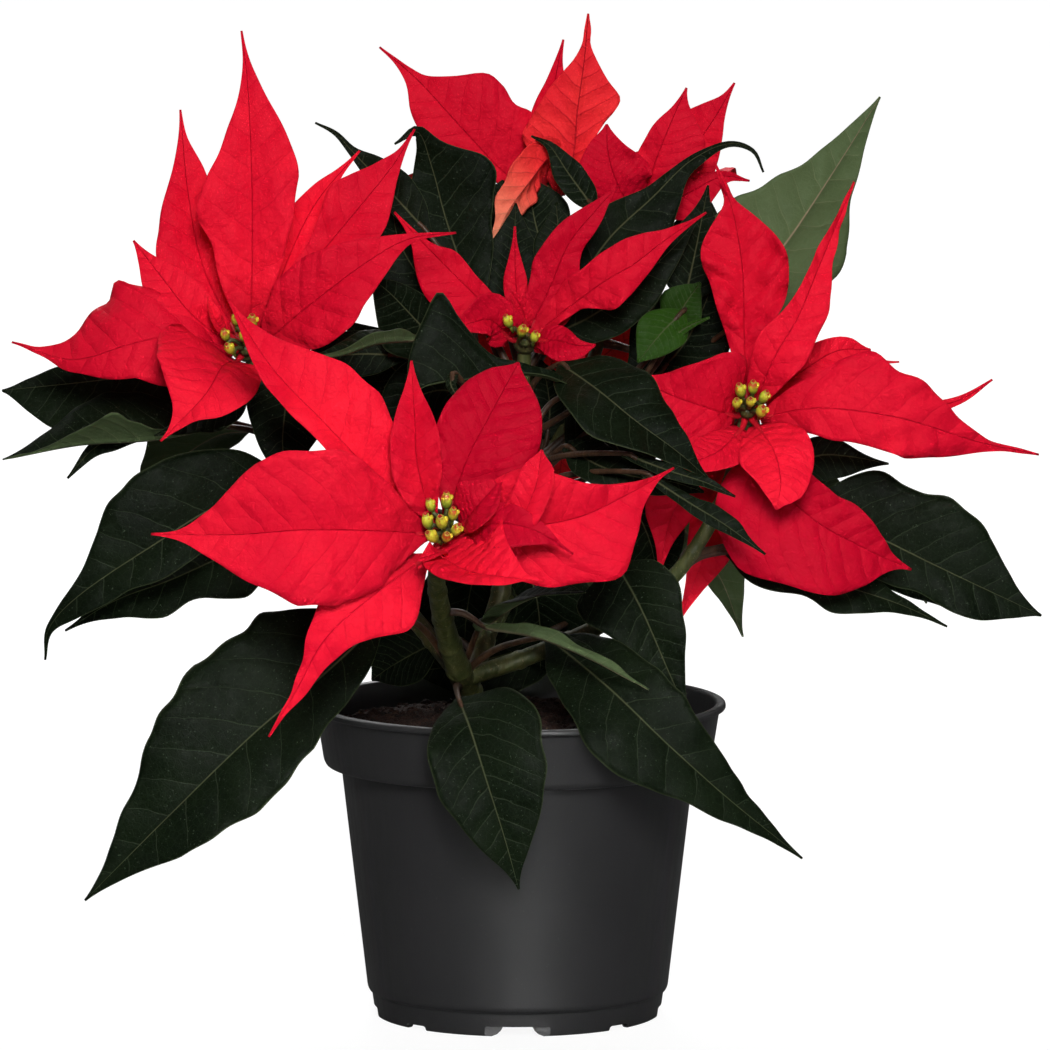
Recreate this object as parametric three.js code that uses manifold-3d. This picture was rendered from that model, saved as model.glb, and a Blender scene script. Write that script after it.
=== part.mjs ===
// Poinsettia (Euphorbia pulcherrima) in a 13 cm plastic nursery pot.
// Millimetres, +Z up. The origin is on the ground, on the pot's axis; the front of the plant is -Y.
// The plant is one root ball in peat, with a trunk that forks low into three leafy stems.
// Each stem ends in blooms: red bracts round a cluster of yellow-green cyathia.

import * as THREE from 'three';
import { mergeVertices } from 'three/addons/utils/BufferGeometryUtils.js';
import Module from 'manifold-3d';

const wasm = await Module();
wasm.setup();

// ---- driving dimensions ---------------------------------------------------

const GAP = 0.3; // between pieces that meet

const POT_HEIGHT = 101.7;
const POT_SEGMENTS = 30;
const LIP_RADIUS = 67.2;
const LIP_DEPTH = 2;
const RIM_HIGH_RADIUS = 65.2;
const RIM_LOW_RADIUS = 62.6;
const RIM_BOTTOM = 81.7;
const WALL_HIGH_RADIUS = 57.1;
const WALL_LOW_RADIUS = 48.6;
const WALL = 1.4;
const FLOOR_TOP = 6;
const FLOOR_UNDER = 4.2;
const BASE_RADIUS = 46.3;
const BASE_STEP = 8.8;
const RING_WIDTH = 3;
const DRAIN_WIDTH = 21;
const DRAIN_INNER_WIDTH = 9;
const DRAIN_HEIGHT = 3.2;
const DRAIN_HOLE_RADIUS = 4;
const DRAIN_HOLE_PLACE = 30;
const SMALL_NOTCH_WIDTH = 8;
const SMALL_NOTCH_HEIGHT = 1.5;

const SOIL_SEGMENTS = 24;
const SOIL_RINGS = [56, 42, 26, 10, 0]; // radii of the rings that the uneven surface is laid on
const SOIL_EDGE = 93;
const SOIL_MIDDLE = 97.5;

const PLANT_X = 1.4; // the plant is drawn round an axis this far right of the pot's
const TRUNK_X = -15;
const TRUNK_Y = 2;
const TRUNK_FOOT = 72;
const TRUNK_RADIUS = 4.4;
const HOLE_RADIUS = 5;
const STALK_HALF_WIDTH = 1.2;
const STALK_ROW_LENGTH = 24;

const HUB_RADIUS = 4.2;
const CLAW_REACH = 0.35; // where a bract's claw starts, from the hub's centre
const CUSHION_RADIUS = 2.8; // the little cushion that carries the cyathia
const CUSHION_HALF_HEIGHT = 1.5;
const CUSHION_RISE = 0.9; // its middle above the hub's surface
const BUD_RADIUS = 2.2;
const BUD_HALF_HEIGHT = 2.53;
const BUD_STALK_RADIUS = 1;

const BRACT_THICKNESS = 0.8;
const LEAF_THICKNESS = 0.9;
const RIB_SWELL = 0.5; // how much thicker a blade is along its rib
const TIP_HALF_WIDTH = 0.45;
const WAVE_SHIFT = 2; // how far the right margin's waves run ahead of the left's, in radians
const ROW_LENGTH = 12.5; // how far apart a blade's rows are
const MIN_ROWS = 3;
const MAX_ROWS = 8;

const POT_GREY = '#2e2d2c';
const PEAT_BROWN = '#2b211a';
const LEAF_GREEN = '#22361c';
const BRACT_RED = '#c8102e';
const CYATHIUM_YELLOW = '#a5a32c';

// ---- solids ---------------------------------------------------------------

/** A closed solid from a geometry whose faces point out. */
function solidOf(geometry) {
  const bare = geometry.index ? geometry.toNonIndexed() : geometry.clone();
  bare.deleteAttribute('normal');
  bare.deleteAttribute('uv');
  const merged = mergeVertices(bare, 1e-4);
  return new wasm.Manifold(new wasm.Mesh({
    numProp: 3,
    vertProperties: new Float32Array(merged.attributes.position.array),
    triVerts: new Uint32Array(merged.index.array),
  }));
}

/** One solid from many that touch or cross each other. */
function fuse(solids) {
  return solids.reduce((whole, solid) => whole.add(solid));
}

/** A three.js geometry from a solid. */
function geometryOf(solid) {
  const mesh = solid.getMesh();
  const geometry = new THREE.BufferGeometry();
  geometry.setAttribute('position', new THREE.BufferAttribute(new Float32Array(mesh.vertProperties), 3));
  geometry.setIndex(new THREE.BufferAttribute(new Uint32Array(mesh.triVerts), 1));
  geometry.computeVertexNormals();
  return geometry;
}

// ---- blades ---------------------------------------------------------------

/** A value from a list spread evenly over 0..1, by a curve through its points. */
function along(list, t) {
  const place = Math.min(Math.max(t, 0), 1) * (list.length - 1);
  const k = Math.min(Math.floor(place), list.length - 2);
  const f = place - k;
  const before = list[Math.max(k - 1, 0)];
  const after = list[Math.min(k + 2, list.length - 1)];
  const slopeIn = (list[k + 1] - before) / 2;
  const slopeOut = (after - list[k]) / 2;
  const rise = list[k + 1] - list[k];
  const bend = slopeIn + slopeOut - 2 * rise;
  return list[k] + f * (slopeIn + f * (3 * rise - 2 * slopeIn - slopeOut + f * bend));
}

/** A smooth curve through points. */
function curveOf(points) {
  const places = points.map((point) => new THREE.Vector3(...point));
  return new THREE.CatmullRomCurve3(places, false, 'catmullrom', 0.5);
}

/**
 * Places along a blade, from the start of its stalk to its tip: where each is, which way the rib runs there,
 * and u, which is 0 at the blade's root, 1 at its tip and -1 on the stalk.
 */
function stations(stalk, rib) {
  const stalkCurve = curveOf([...stalk, rib[0]]);
  const ribCurve = curveOf(rib);
  const stalkRows = Math.max(Math.round(stalkCurve.getLength() / STALK_ROW_LENGTH), 1);
  const rows = THREE.MathUtils.clamp(Math.round(ribCurve.getLength() / ROW_LENGTH), MIN_ROWS, MAX_ROWS);
  const places = [];
  for (let row = 0; row < stalkRows; row += 1) {
    const t = row / stalkRows;
    places.push({ centre: stalkCurve.getPointAt(t), ahead: stalkCurve.getTangentAt(t), u: -1 });
  }
  for (let row = 0; row <= rows; row += 1) {
    const u = row / rows;
    places.push({ centre: ribCurve.getPointAt(u), ahead: ribCurve.getTangentAt(u), u });
  }
  return places;
}

/**
 * A bract or leaf: a thin closed sheet on a curved rib, with its stalk.
 * stalk: points from where it leaves the stem. rib: points from the blade's root to its tip.
 * left, right: half widths at even steps along the rib, looking at its face with the tip up.
 * face, tipFace: where its upper face looks, at its root and at its tip.
 * fold: degrees that the left and the right half rise from flat toward the face; a negative half droops.
 * wave: height of the waves along its margin. waves: how many there are.
 * halves: how many strips each half is cut into.
 */
function blade({
  stalk, rib, left, right, face, tipFace = face, fold = [12, 12], wave = 0, waves = 2.5, halves = 1,
  thickness = BRACT_THICKNESS,
}) {
  const leftWidths = [...left, TIP_HALF_WIDTH];
  const rightWidths = [...right, TIP_HALF_WIDTH];
  const rootFace = new THREE.Vector3(...face).normalize();
  const endFace = new THREE.Vector3(...tipFace).normalize();
  const upper = [];
  const lower = [];
  const places = stations(stalk, rib);
  for (const { centre, ahead, u } of places) {
    const onStalk = u < 0;
    const up = rootFace.clone().lerp(endFace, Math.max(u, 0));
    up.addScaledVector(ahead, -up.dot(ahead)).normalize();
    const across = new THREE.Vector3().crossVectors(ahead, up);
    for (let column = -halves; column <= halves; column += 1) {
      const side = Math.sign(column);
      const f = Math.abs(column) / halves;
      const bladeWidth = Math.max(along(side < 0 ? leftWidths : rightWidths, u), TIP_HALF_WIDTH);
      const width = onStalk ? STALK_HALF_WIDTH : bladeWidth;
      const lean = THREE.MathUtils.degToRad(fold[side < 0 ? 0 : 1]);
      const swing = Math.sin(2 * Math.PI * waves * u + (side < 0 ? 0 : WAVE_SHIFT));
      const ripple = onStalk ? 0 : wave * f * f * Math.sin(Math.PI * u) * swing;
      const point = centre.clone()
        .addScaledVector(across, side * width * f * Math.cos(lean))
        .addScaledVector(up, width * f * Math.sin(lean) + ripple);
      const slant = f === 0 ? 0 : lean;
      const outward = up.clone().multiplyScalar(Math.cos(slant));
      outward.addScaledVector(across, -side * Math.sin(slant));
      const half = (thickness / 2) * (1 + RIB_SWELL * (1 - f));
      upper.push(point.clone().addScaledVector(outward, half));
      lower.push(point.clone().addScaledVector(outward, -half));
    }
  }
  const rows = places.length - 1;
  const wide = 2 * halves + 1;
  const triangles = [];
  const quad = (a, b, c, d) => triangles.push(a, b, c, a, c, d);
  const size = upper.length;
  for (let row = 0; row < rows; row += 1) {
    for (let column = 0; column < wide - 1; column += 1) {
      const a = row * wide + column;
      const corners = [a, a + 1, a + 1 + wide, a + wide];
      quad(...corners);
      const [p, q, r, s] = corners.map((k) => k + size);
      triangles.push(p, r, q, p, s, r);
    }
    const l = row * wide;
    const r = l + wide - 1;
    quad(l, l + wide, l + wide + size, l + size);
    quad(r, r + size, r + wide + size, r + wide);
  }
  for (let column = 0; column < wide - 1; column += 1) {
    const end = rows * wide + column;
    quad(column, column + size, column + 1 + size, column + 1);
    quad(end, end + 1, end + 1 + size, end + size);
  }
  const geometry = new THREE.BufferGeometry();
  const points = [...upper, ...lower].flatMap((p) => [p.x, p.y, p.z]);
  geometry.setAttribute('position', new THREE.Float32BufferAttribute(points, 3));
  geometry.setIndex(triangles);
  return solidOf(geometry);
}

/** A round stem along points, from its first radius to its last. */
function stem({ path, radii, sides = 5, steps = 5 }) {
  const curve = curveOf(path);
  const section = new THREE.Shape();
  for (let k = 0; k < sides; k += 1) {
    const turn = (2 * Math.PI * k) / sides;
    section[k ? 'lineTo' : 'moveTo'](Math.cos(turn), Math.sin(turn));
  }
  section.closePath();
  const geometry = new THREE.ExtrudeGeometry(section, { extrudePath: curve, steps, curveSegments: 1 });
  const points = geometry.attributes.position;
  const places = Array.from({ length: steps + 1 }, (_, k) => curve.getPointAt(k / steps));
  const point = new THREE.Vector3();
  for (let k = 0; k < points.count; k += 1) {
    point.fromBufferAttribute(points, k);
    let nearest = 0;
    places.forEach((place, n) => {
      if (place.distanceTo(point) < places[nearest].distanceTo(point)) nearest = n;
    });
    const radius = along(radii, nearest / steps);
    point.sub(places[nearest]).multiplyScalar(radius).add(places[nearest]);
    points.setXYZ(k, point.x, point.y, point.z);
  }
  return solidOf(geometry);
}

/** A ball squeezed to three radii. */
function ball(centre, radii, turn = [0, 0, 0], around = 6, rings = 4) {
  const geometry = new THREE.SphereGeometry(1, around, rings);
  geometry.rotateX(Math.PI / 2);
  geometry.scale(...radii);
  geometry.rotateX(turn[0]).rotateY(turn[1]).rotateZ(turn[2]);
  geometry.translate(...centre);
  return solidOf(geometry);
}

// ---- bracts ---------------------------------------------------------------

// Each bloom: its hub, the way it faces, its bracts, and where its cyathia stand round the hub.
const LEFT_BRACTS = [
  // tall back bract
  { rib: [[-87, -15, 220], [-86, -19, 245], [-86, -18, 272], [-87.3, -14, 301], [-89.5, -6, 318.5]],
    face: [0, -1, 0.15], left: [2, 6, 10.5, 13, 17.5, 16, 11, 6.5, 2.8, 0.8],
    right: [2, 5, 8, 11, 13.5, 15, 14.5, 10, 4.8, 1.5], fold: [14, 16], wave: 0.8 },
  // beside it
  { rib: [[-91, -12, 221], [-102, -8, 243], [-107, -3, 267], [-109.5, 4, 292.5]], face: [0.2, -1, 0.1],
    left: [2, 8, 13, 14.5, 12, 8.7, 4.2, 1.5], right: [2, 5, 7, 9, 10, 8.5, 6, 1.7], fold: [12, 10] },
  // upper left, short
  { rib: [[-92, -16, 218], [-105, -22, 229], [-115, -19, 241], [-124, -13, 252]], face: [0.1, -1, 0.3],
    left: [2, 6, 9, 9, 7.7, 3.6], right: [2, 6, 8, 8.5, 6, 2.2], fold: [10, 14] },
  // long left
  { rib: [[-92, -17, 217], [-107, -27, 223], [-123, -31, 221], [-143, -25, 215], [-163, -14, 219.5]],
    face: [0, -0.75, 0.66], left: [2, 6, 11, 16, 14, 11, 8, 4, 1.5, 0.7],
    right: [2, 7, 11, 14, 18, 21.5, 17, 14, 8, 2.5], fold: [-35, 8], wave: 0.8 },
  // hanging toward the front
  { rib: [[-91, -20, 214], [-98, -38, 213], [-107, -52, 205], [-114, -56, 192.5]],
    face: [0.1, -0.6, 0.8], left: [3, 11, 17, 20, 19, 15, 8, 3], right: [3, 6, 8, 9, 9, 8, 5, 2],
    fold: [14, 25] },
  // upper right, inner
  { rib: [[-84, -13, 221], [-75, -7, 245], [-66, -2, 263], [-52, 2, 279.5]], face: [0, -1, 0.1],
    left: [2, 5, 7, 8, 7.5, 6, 4, 1.5], right: [2, 4, 6, 7, 6, 5, 3, 1], fold: [14, 10] },
  // upper right, broad
  { rib: [[-83, -16, 220], [-68, -16, 243], [-52, -13, 262.5], [-41, -9, 276], [-34.3, -5, 287]],
    face: [-0.1, -1, 0.1], left: [2, 3.5, 4.5, 5, 5.5, 8, 11.5, 9, 5, 1.5],
    right: [2, 5, 9, 11, 12, 12.5, 12, 8.5, 4, 1.2], fold: [12, 14] },
  // right, broad
  { rib: [[-83, -20, 219], [-68, -30, 232.5], [-50, -34, 246.5], [-36, -30, 254], [-21, -24, 255.5]],
    face: [0, -1, 0.3], left: [2, 7, 11, 13.5, 13.5, 11, 8, 4.8, 1.8, 0.8],
    right: [2, 7, 12, 14.5, 14.5, 11.5, 8, 4.5, 1.6, 0.8], fold: [10, 12], wave: 0.7 },
  // small inner curl
  { rib: [[-93, -18, 222], [-98, -24, 228], [-100, -23, 235]], face: [0.5, -0.9, 0.1],
    left: [1.5, 2.5, 2], right: [1.5, 3, 2.5], fold: [25, 25] },
  // behind
  { rib: [[-88, -9, 218], [-94, 14, 232], [-102, 38, 238], [-108, 56, 232]], face: [0, 0.1, 1],
    left: [2, 7, 11, 13, 12, 9, 5, 2], right: [2, 7, 11, 13, 12, 9, 5, 2], fold: [12, 12] },
  { rib: [[-85, -9, 218], [-74, 12, 232], [-62, 32, 238], [-54, 50, 232]], face: [0, 0.1, 1],
    left: [2, 7, 10, 12, 11, 8, 5, 2], right: [2, 7, 10, 12, 11, 8, 5, 2], fold: [12, 12] },
];

const FRONT_BRACTS = [
  // up to the left
  { rib: [[-29, -84, 169], [-44, -86, 183], [-61, -86, 201], [-78, -82, 218.5], [-92, -74, 239]],
    face: [0.1, -1, 0.15], left: [2, 4, 6, 7, 7, 7, 7, 6.5, 4.5, 2],
    right: [2, 7, 12, 15, 18, 18.5, 17, 12, 7, 2.5], fold: [35, 8] },
  // broad left
  { rib: [[-29, -84, 166.5], [-48, -96, 169], [-68, -102, 170], [-90, -102, 168.5], [-115.5, -96, 168]],
    face: [0, -1, 0.1], left: [2, 9, 17, 22, 24, 23, 19, 13, 6.7, 2],
    right: [2, 9, 16, 22.5, 25.5, 25.5, 22.5, 16, 7.5, 1.6], fold: [8, 10], wave: 0.6 },
  // lower left, drooping
  { rib: [[-30, -84, 159], [-46, -97, 149], [-61, -102, 136], [-70, -102, 120], [-79, -98, 104.5]],
    face: [0, -0.8, 0.6], left: [2, 8, 14, 14, 10, 7.5, 6, 4.2, 2.5, 1],
    right: [2, 9, 13, 14, 12, 8, 4.5, 2.4, 1.2, 0.7], fold: [-25, 10] },
  // upright, folded
  { rib: [[-28, -86, 171], [-32.5, -89, 188], [-33.5, -88, 204], [-34.5, -84, 221]], face: [0, -1, 0.1],
    left: [2, 7, 9, 9, 7, 3], right: [2, 5, 8.5, 8.5, 6.5, 2.5], fold: [28, 28] },
  // up, broad
  { rib: [[-23, -83, 172], [-17, -82, 190], [-9, -78, 205], [-1, -70, 219]], face: [0, -1, 0.2],
    left: [2, 5, 8, 10, 11, 11, 10, 7], right: [2, 7, 12, 16, 18, 17, 14, 8], fold: [8, 12], wave: 0.6 },
  // right
  { rib: [[-19, -86, 168], [0, -95, 170], [18, -97, 173.5], [34, -92, 180.5], [47.5, -84, 187.3]],
    face: [0, -1, 0.1], left: [2, 8, 16, 20, 19, 15, 10, 6, 2.8, 1],
    right: [2, 8, 14, 18, 20, 21, 21, 13, 5.5, 1.3], fold: [22, 8], wave: 0.6 },
  // lower right, cupped toward the front
  { rib: [[-21, -89, 163], [-14, -106, 160.5], [-5, -115, 158.5], [7, -115, 156]],
    face: [0, -0.75, 0.66], left: [2.5, 12, 18, 19, 14, 6], right: [2.5, 11, 15, 14, 10, 4],
    fold: [18, 18] },
  // small inner bracts
  { rib: [[-24, -89, 162], [-28, -97, 161.5], [-33.5, -99, 160]], face: [0, -0.6, 0.8],
    left: [1.5, 3.2, 2.5], right: [1.5, 3.2, 2.5], fold: [10, 10] },
  { rib: [[-19, -89, 171], [-13, -97, 179], [-6, -99, 186.5]], face: [-0.5, -0.8, 0.2],
    left: [1.5, 4, 4.5, 3], right: [1.5, 4, 5, 3], fold: [15, 20] },
];

const RIGHT_BRACTS = [
  // left
  { rib: [[68, -20, 196.5], [60, -27, 199.5], [49, -29, 203.5], [39, -26, 207.5], [28.7, -20, 210.5]],
    face: [0, -1, 0.1], left: [3, 7, 10, 13, 16, 15.5, 13, 8.5, 4.2, 1.6],
    right: [3, 17, 20.5, 18.5, 14.5, 11, 7, 3.7, 2, 1], fold: [8, 12], wave: 0.5 },
  // up to the right, twisted
  { rib: [[74, -19, 199], [80, -26, 215], [88, -25, 229], [95, -18, 245], [106, -9, 270.5]],
    face: [-0.3, -1, 0.2], tipFace: [0.5, -0.9, 0], left: [2, 5, 7, 8, 5.5, 4, 3.2, 3, 2, 1],
    right: [2, 5, 8, 10, 8.5, 8, 5.5, 3.3, 2, 1], fold: [14, 14] },
  // upright, crinkled
  { rib: [[72, -13, 201], [71, -11, 222], [70.5, -9, 242], [67.3, -7, 261], [62, -4, 275.5]],
    face: [0, -1, 0.1], left: [2, 3, 4.5, 6, 8, 10, 12, 11.5, 5, 1.2],
    right: [2, 3, 4.5, 7.5, 11.5, 14, 14.5, 12.5, 4, 1.2], fold: [14, 14], wave: 1.6, waves: 3 },
  // long right
  { rib: [[76, -20, 196], [95, -30, 200], [120, -31, 197], [145, -22, 188.5], [165.5, -11, 183]],
    face: [0, -1, 0.25], left: [2, 5, 8, 11.5, 16.5, 20, 15, 14, 11, 7, 4, 2, 1.1, 0.8],
    right: [2, 4, 7, 9, 10, 10.5, 11, 12, 11, 9, 6, 3, 1.3, 0.8], fold: [6, -14] },
  // between them, dark
  { rib: [[77, -12, 200.5], [90, -7, 209.5], [101, -3, 215.5], [112, 1, 215.5]], face: [0, -1, 0.2],
    left: [2, 4, 5, 5.5, 5, 3.5], right: [2, 4, 6, 7, 6, 3], fold: [10, 10] },
  // long right, behind
  { rib: [[77, -9, 196], [103, 6, 197], [127, 12, 195], [141, 12, 198], [151.5, 9, 205]],
    face: [0, -1, 0.2], left: [2, 6, 9, 11, 8, 4.5, 2.2, 1.2], right: [2, 6, 9, 11, 8, 4.5, 2.2, 1.2],
    fold: [10, 10] },
  { rib: [[76, -7, 201], [97, 14, 207], [110, 21, 209], [122, 22, 209.3]], face: [0, -0.6, 0.8],
    left: [2, 5, 7, 6, 3.5, 1.5], right: [2, 5, 7, 6, 3.5, 1.5], fold: [10, 10] },
  // bottom, two hanging to the front
  { rib: [[75, -23, 193.5], [80, -36, 187], [82, -44, 178], [80.5, -46, 169.5]], face: [0.1, -0.9, 0.4],
    left: [3, 8, 10.5, 11, 10.5, 9.5, 7], right: [3, 6, 8.5, 9.5, 9.5, 7, 3.5], fold: [8, 12] },
  { rib: [[70, -23, 192.5], [63, -34, 187], [56, -39, 184.5], [49.8, -41, 183]], face: [-0.2, -0.9, 0.4],
    left: [3, 8, 9.5, 9, 7.5, 5.5, 3.5], right: [3, 4.5, 6, 7.5, 8, 6.5, 3.5], fold: [8, 8] },
  // lower right, big and waved
  { rib: [[77, -15, 190], [82, -24, 176], [92, -30, 165], [108, -28, 155.5], [124.5, -20, 147]],
    face: [0, -1, 0.2], left: [2, 5, 8, 10, 10.5, 11, 11, 9, 5.5, 2],
    right: [2, 10, 20, 26, 27, 24, 21, 18, 11, 3], fold: [8, 10], wave: 1.6, waves: 3 },
  // hanging behind, in shade
  { rib: [[68, -7.5, 191], [57, 3, 177], [48, 8, 160], [44, 8, 141.5]], face: [0, -1, 0.1],
    left: [2, 6, 8, 8, 6, 2.5], right: [2, 7, 11, 12.5, 9, 3], fold: [12, 12] },
  { rib: [[71, -5, 191], [67, 9, 172], [60, 13, 150], [50.5, 12, 125.5]], face: [0, -1, 0.1],
    left: [2, 7, 9, 9, 8, 3.5], right: [2, 6, 9, 9, 6.5, 2.5], fold: [12, 12] },
];

const CENTRE_BRACTS = [
  // right
  { rib: [[3, -2, 219.5], [14, -6, 229], [26, -12, 238.5], [36, -12, 244.5], [46, -8, 251.8],
      [59, -2, 260]], face: [0, -1, 0.2], left: [2, 4, 6, 7.5, 7.6, 8.6, 8.6, 6.3, 3, 1],
    right: [2, 2, 2.5, 3.5, 9, 8.4, 5.7, 3.4, 1.7, 0.8], fold: [10, 10], wave: 0.5 },
  // up
  { rib: [[2, -1, 221], [9, -3, 236], [15, -3, 250], [24, -1, 261], [30.5, 1, 268]], face: [0, -1, 0.1],
    left: [2, 4, 6, 7.3, 8.5, 7.6, 6.5, 5, 3.4, 1.5], right: [2, 3, 4.5, 6, 7.5, 6, 5, 4.6, 3.6, 1.7],
    fold: [12, 12], wave: 0.4 },
  // narrow, upright
  { rib: [[-0.5, 1, 221], [-1.7, 3, 232], [-2.2, 5, 243], [-2.3, 7, 254.7]], face: [0, -1, 0.1],
    left: [1.5, 2.5, 3.8, 4, 2.5, 1], right: [1.5, 2.5, 3.3, 3.8, 2.3, 0.8], fold: [10, 10] },
  // upper left, dark
  { rib: [[-2, 1, 220], [-12, 1, 230], [-22, 1, 240], [-32, 3, 250], [-41, 5, 259.5]],
    face: [0, -1, 0.1], left: [2, 6, 9, 11, 12.5, 12, 10, 7, 3, 1.2],
    right: [2, 3, 4, 4.5, 4.8, 5.5, 5.5, 2.5, 1.2, 0.7], fold: [10, 8] },
  // left, cupped toward the front
  { rib: [[-4, -3, 219.5], [-10, -9, 226], [-17, -14, 225.5], [-23.5, -15, 223.8]], face: [0, -1, 0.2],
    left: [3, 7, 7, 7, 5, 2], right: [3, 8, 9, 9, 7, 3], fold: [25, 25] },
  // small one facing the front
  { rib: [[1.5, -2, 222.5], [0, -6.5, 229.5], [-4, -9, 236]], face: [0.2, -1, 0.1],
    left: [1.5, 2.6, 2.4], right: [1.5, 3, 2.6], fold: [12, 12] },
  // lower right
  { rib: [[5, -4, 218.8], [11, -10, 219.6], [17.5, -15, 218.5], [23.5, -16, 218.8]],
    face: [0, -0.9, 0.4], left: [2, 5, 5.5, 4.5, 3, 1.5], right: [2, 4, 6, 7, 6.5, 4], fold: [10, 10] },
  // right, small and narrow
  { rib: [[4, 1, 220], [13, 3, 227], [18.5, 3, 237]], face: [0, -1, 0.2], left: [1.5, 2.5, 2.5, 1.5],
    right: [1.5, 3, 3, 1.5], fold: [12, 12] },
  // hanging, in shade
  { rib: [[4, -1, 217], [14, 2, 215], [19.5, 1, 207], [16, -1, 197.5]], face: [0.3, -1, 0.1],
    left: [2, 3, 3, 3, 3, 2], right: [2, 3, 3, 3, 4, 3], fold: [12, 12] },
];

const BACK_TOP_BRACTS = [
  // left
  { rib: [[6, 58, 259], [-6, 55, 268], [-20, 53, 283], [-34, 56, 298], [-46.5, 60, 308.5]],
    face: [0, -1, 0.1], left: [2, 3, 4, 4, 8, 11.5, 11, 8.5, 3.5, 1],
    right: [2, 8, 14, 18, 21, 20.5, 16, 8, 2, 0.8], fold: [8, 8], wave: 0.8 },
  // upright, its underside to the front
  { rib: [[12, 53, 261], [16.5, 47, 273], [18, 45, 289], [20.3, 47, 306], [21.5, 52, 320]],
    face: [0, 1, 0.1], left: [2, 3, 4.5, 6, 8, 13.5, 11.5, 7, 1.5, 1.4],
    right: [2, 4, 6, 11, 15, 14.5, 10, 6.5, 1.8, 0.7], fold: [10, 10] },
  // behind it
  { rib: [[10, 65, 262], [9, 67, 280], [11, 67, 298], [13.5, 67, 310.5]], face: [0, -1, 0.1],
    left: [2, 5, 7, 6.5, 4.5, 2.3, 1.1], right: [2, 5, 7, 7, 5, 3, 1], fold: [10, 10] },
  // bent over to the front
  { rib: [[7, 55, 264], [8, 44, 273.5], [3, 36, 268], [-5, 32, 257], [-10.5, 30, 244]],
    face: [-0.4, 0.6, 0.8], tipFace: [-0.6, 0.7, -0.3], left: [2, 4, 4.5, 4.5, 3, 1.5],
    right: [2, 4, 4.5, 4.5, 3, 1.5], fold: [14, 14] },
  // behind
  { rib: [[8, 66, 260], [4, 88, 272], [0, 112, 276]], face: [0, 0.2, 1], left: [2, 8, 12, 11, 6],
    right: [2, 8, 12, 11, 6], fold: [12, 12] },
  { rib: [[13, 66, 260], [28, 84, 268], [42, 102, 266]], face: [0, 0.2, 1], left: [2, 8, 11, 10, 5],
    right: [2, 8, 11, 10, 5], fold: [12, 12] },
  { rib: [[4, 63, 259], [-18, 78, 266], [-42, 90, 262]], face: [0, 0.2, 1], left: [2, 8, 11, 10, 5],
    right: [2, 8, 11, 10, 5], fold: [12, 12] },
];

const BACK_RIGHT_BRACTS = [
  // left, crinkled and dark
  { rib: [[36, 48, 256], [31, 44, 265], [28, 44, 275], [27.5, 46, 284.5]], face: [0, -1, 0.1],
    left: [2, 6, 8, 7, 3], right: [2, 6, 8, 7, 3], fold: [12, 12], wave: 1 },
  // up
  { rib: [[39, 50, 258], [43, 46, 271], [48, 46, 284], [53.5, 50, 296]], face: [0, -1, 0.1],
    left: [2, 5, 7, 7, 6.5, 6, 5.5, 4, 2, 0.9], right: [2, 6, 10, 13, 15, 15.5, 14, 11, 6.5, 2.5],
    fold: [12, 10], wave: 0.5 },
  // up to the right
  { rib: [[44.5, 55, 257], [55, 56, 274], [63, 56, 286], [69.3, 58, 297]], face: [0, -1, 0.1],
    left: [2, 5, 8, 9, 8, 6, 4, 1.2], right: [2, 7, 10, 11, 10, 7.5, 4, 1.2], fold: [10, 12] },
  // right, dark
  { rib: [[43, 48, 256], [54, 44, 262], [65, 44, 267.5], [74, 46, 266]], face: [0, -1, 0.2],
    left: [2, 5, 6, 5, 2.5, 1.2], right: [2, 6, 8, 7, 4, 1.5], fold: [10, 10] },
  // behind
  { rib: [[44, 58, 255], [60, 76, 264], [72, 92, 262]], face: [0, 0.2, 1], left: [2, 8, 11, 10, 5],
    right: [2, 8, 11, 10, 5], fold: [12, 12] },
  { rib: [[38, 60, 255], [40, 78, 256], [50, 96, 248]], face: [0, 0.2, 1], left: [2, 7, 9, 8, 4],
    right: [2, 7, 9, 8, 4], fold: [12, 12] },
];

const BACK_BRACTS = [
  { rib: [[10, 105, 194], [9, 112, 208], [6, 116, 222], [2, 114, 236]], face: [0, 1, 0.1],
    left: [2, 7, 12, 14, 13, 9, 5, 2], right: [2, 7, 12, 14, 13, 9, 5, 2], fold: [12, 12] },
  { rib: [[14, 104, 192], [28, 109, 203], [42, 108, 212], [54, 102, 218]], face: [0, 1, 0.3],
    left: [2, 7, 12, 14, 13, 9, 5, 2], right: [2, 7, 12, 14, 13, 9, 5, 2], fold: [12, 12] },
  { rib: [[14, 105, 188], [30, 111, 186], [46, 111, 180], [60, 106, 172]], face: [0, 1, 0.3],
    left: [2, 7, 13, 15, 14, 10, 5, 2], right: [2, 7, 13, 15, 14, 10, 5, 2], fold: [12, 12] },
  { rib: [[11, 106, 186], [13, 114, 172], [12, 116, 157], [8, 112, 144]], face: [0, 1, 0.3],
    left: [2, 7, 12, 14, 13, 9, 5, 2], right: [2, 7, 12, 14, 13, 9, 5, 2], fold: [12, 12] },
  { rib: [[6, 105, 188], [-8, 111, 181], [-22, 111, 171], [-34, 106, 162]], face: [0, 1, 0.3],
    left: [2, 7, 13, 15, 14, 10, 5, 2], right: [2, 7, 13, 15, 14, 10, 5, 2], fold: [12, 12] },
  { rib: [[6, 104, 192], [-9, 109, 199], [-24, 108, 206], [-38, 102, 211]], face: [0, 1, 0.3],
    left: [2, 7, 12, 14, 13, 9, 5, 2], right: [2, 7, 12, 14, 13, 9, 5, 2], fold: [12, 12] },
];

// ---- leafy stems ----------------------------------------------------------

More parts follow.
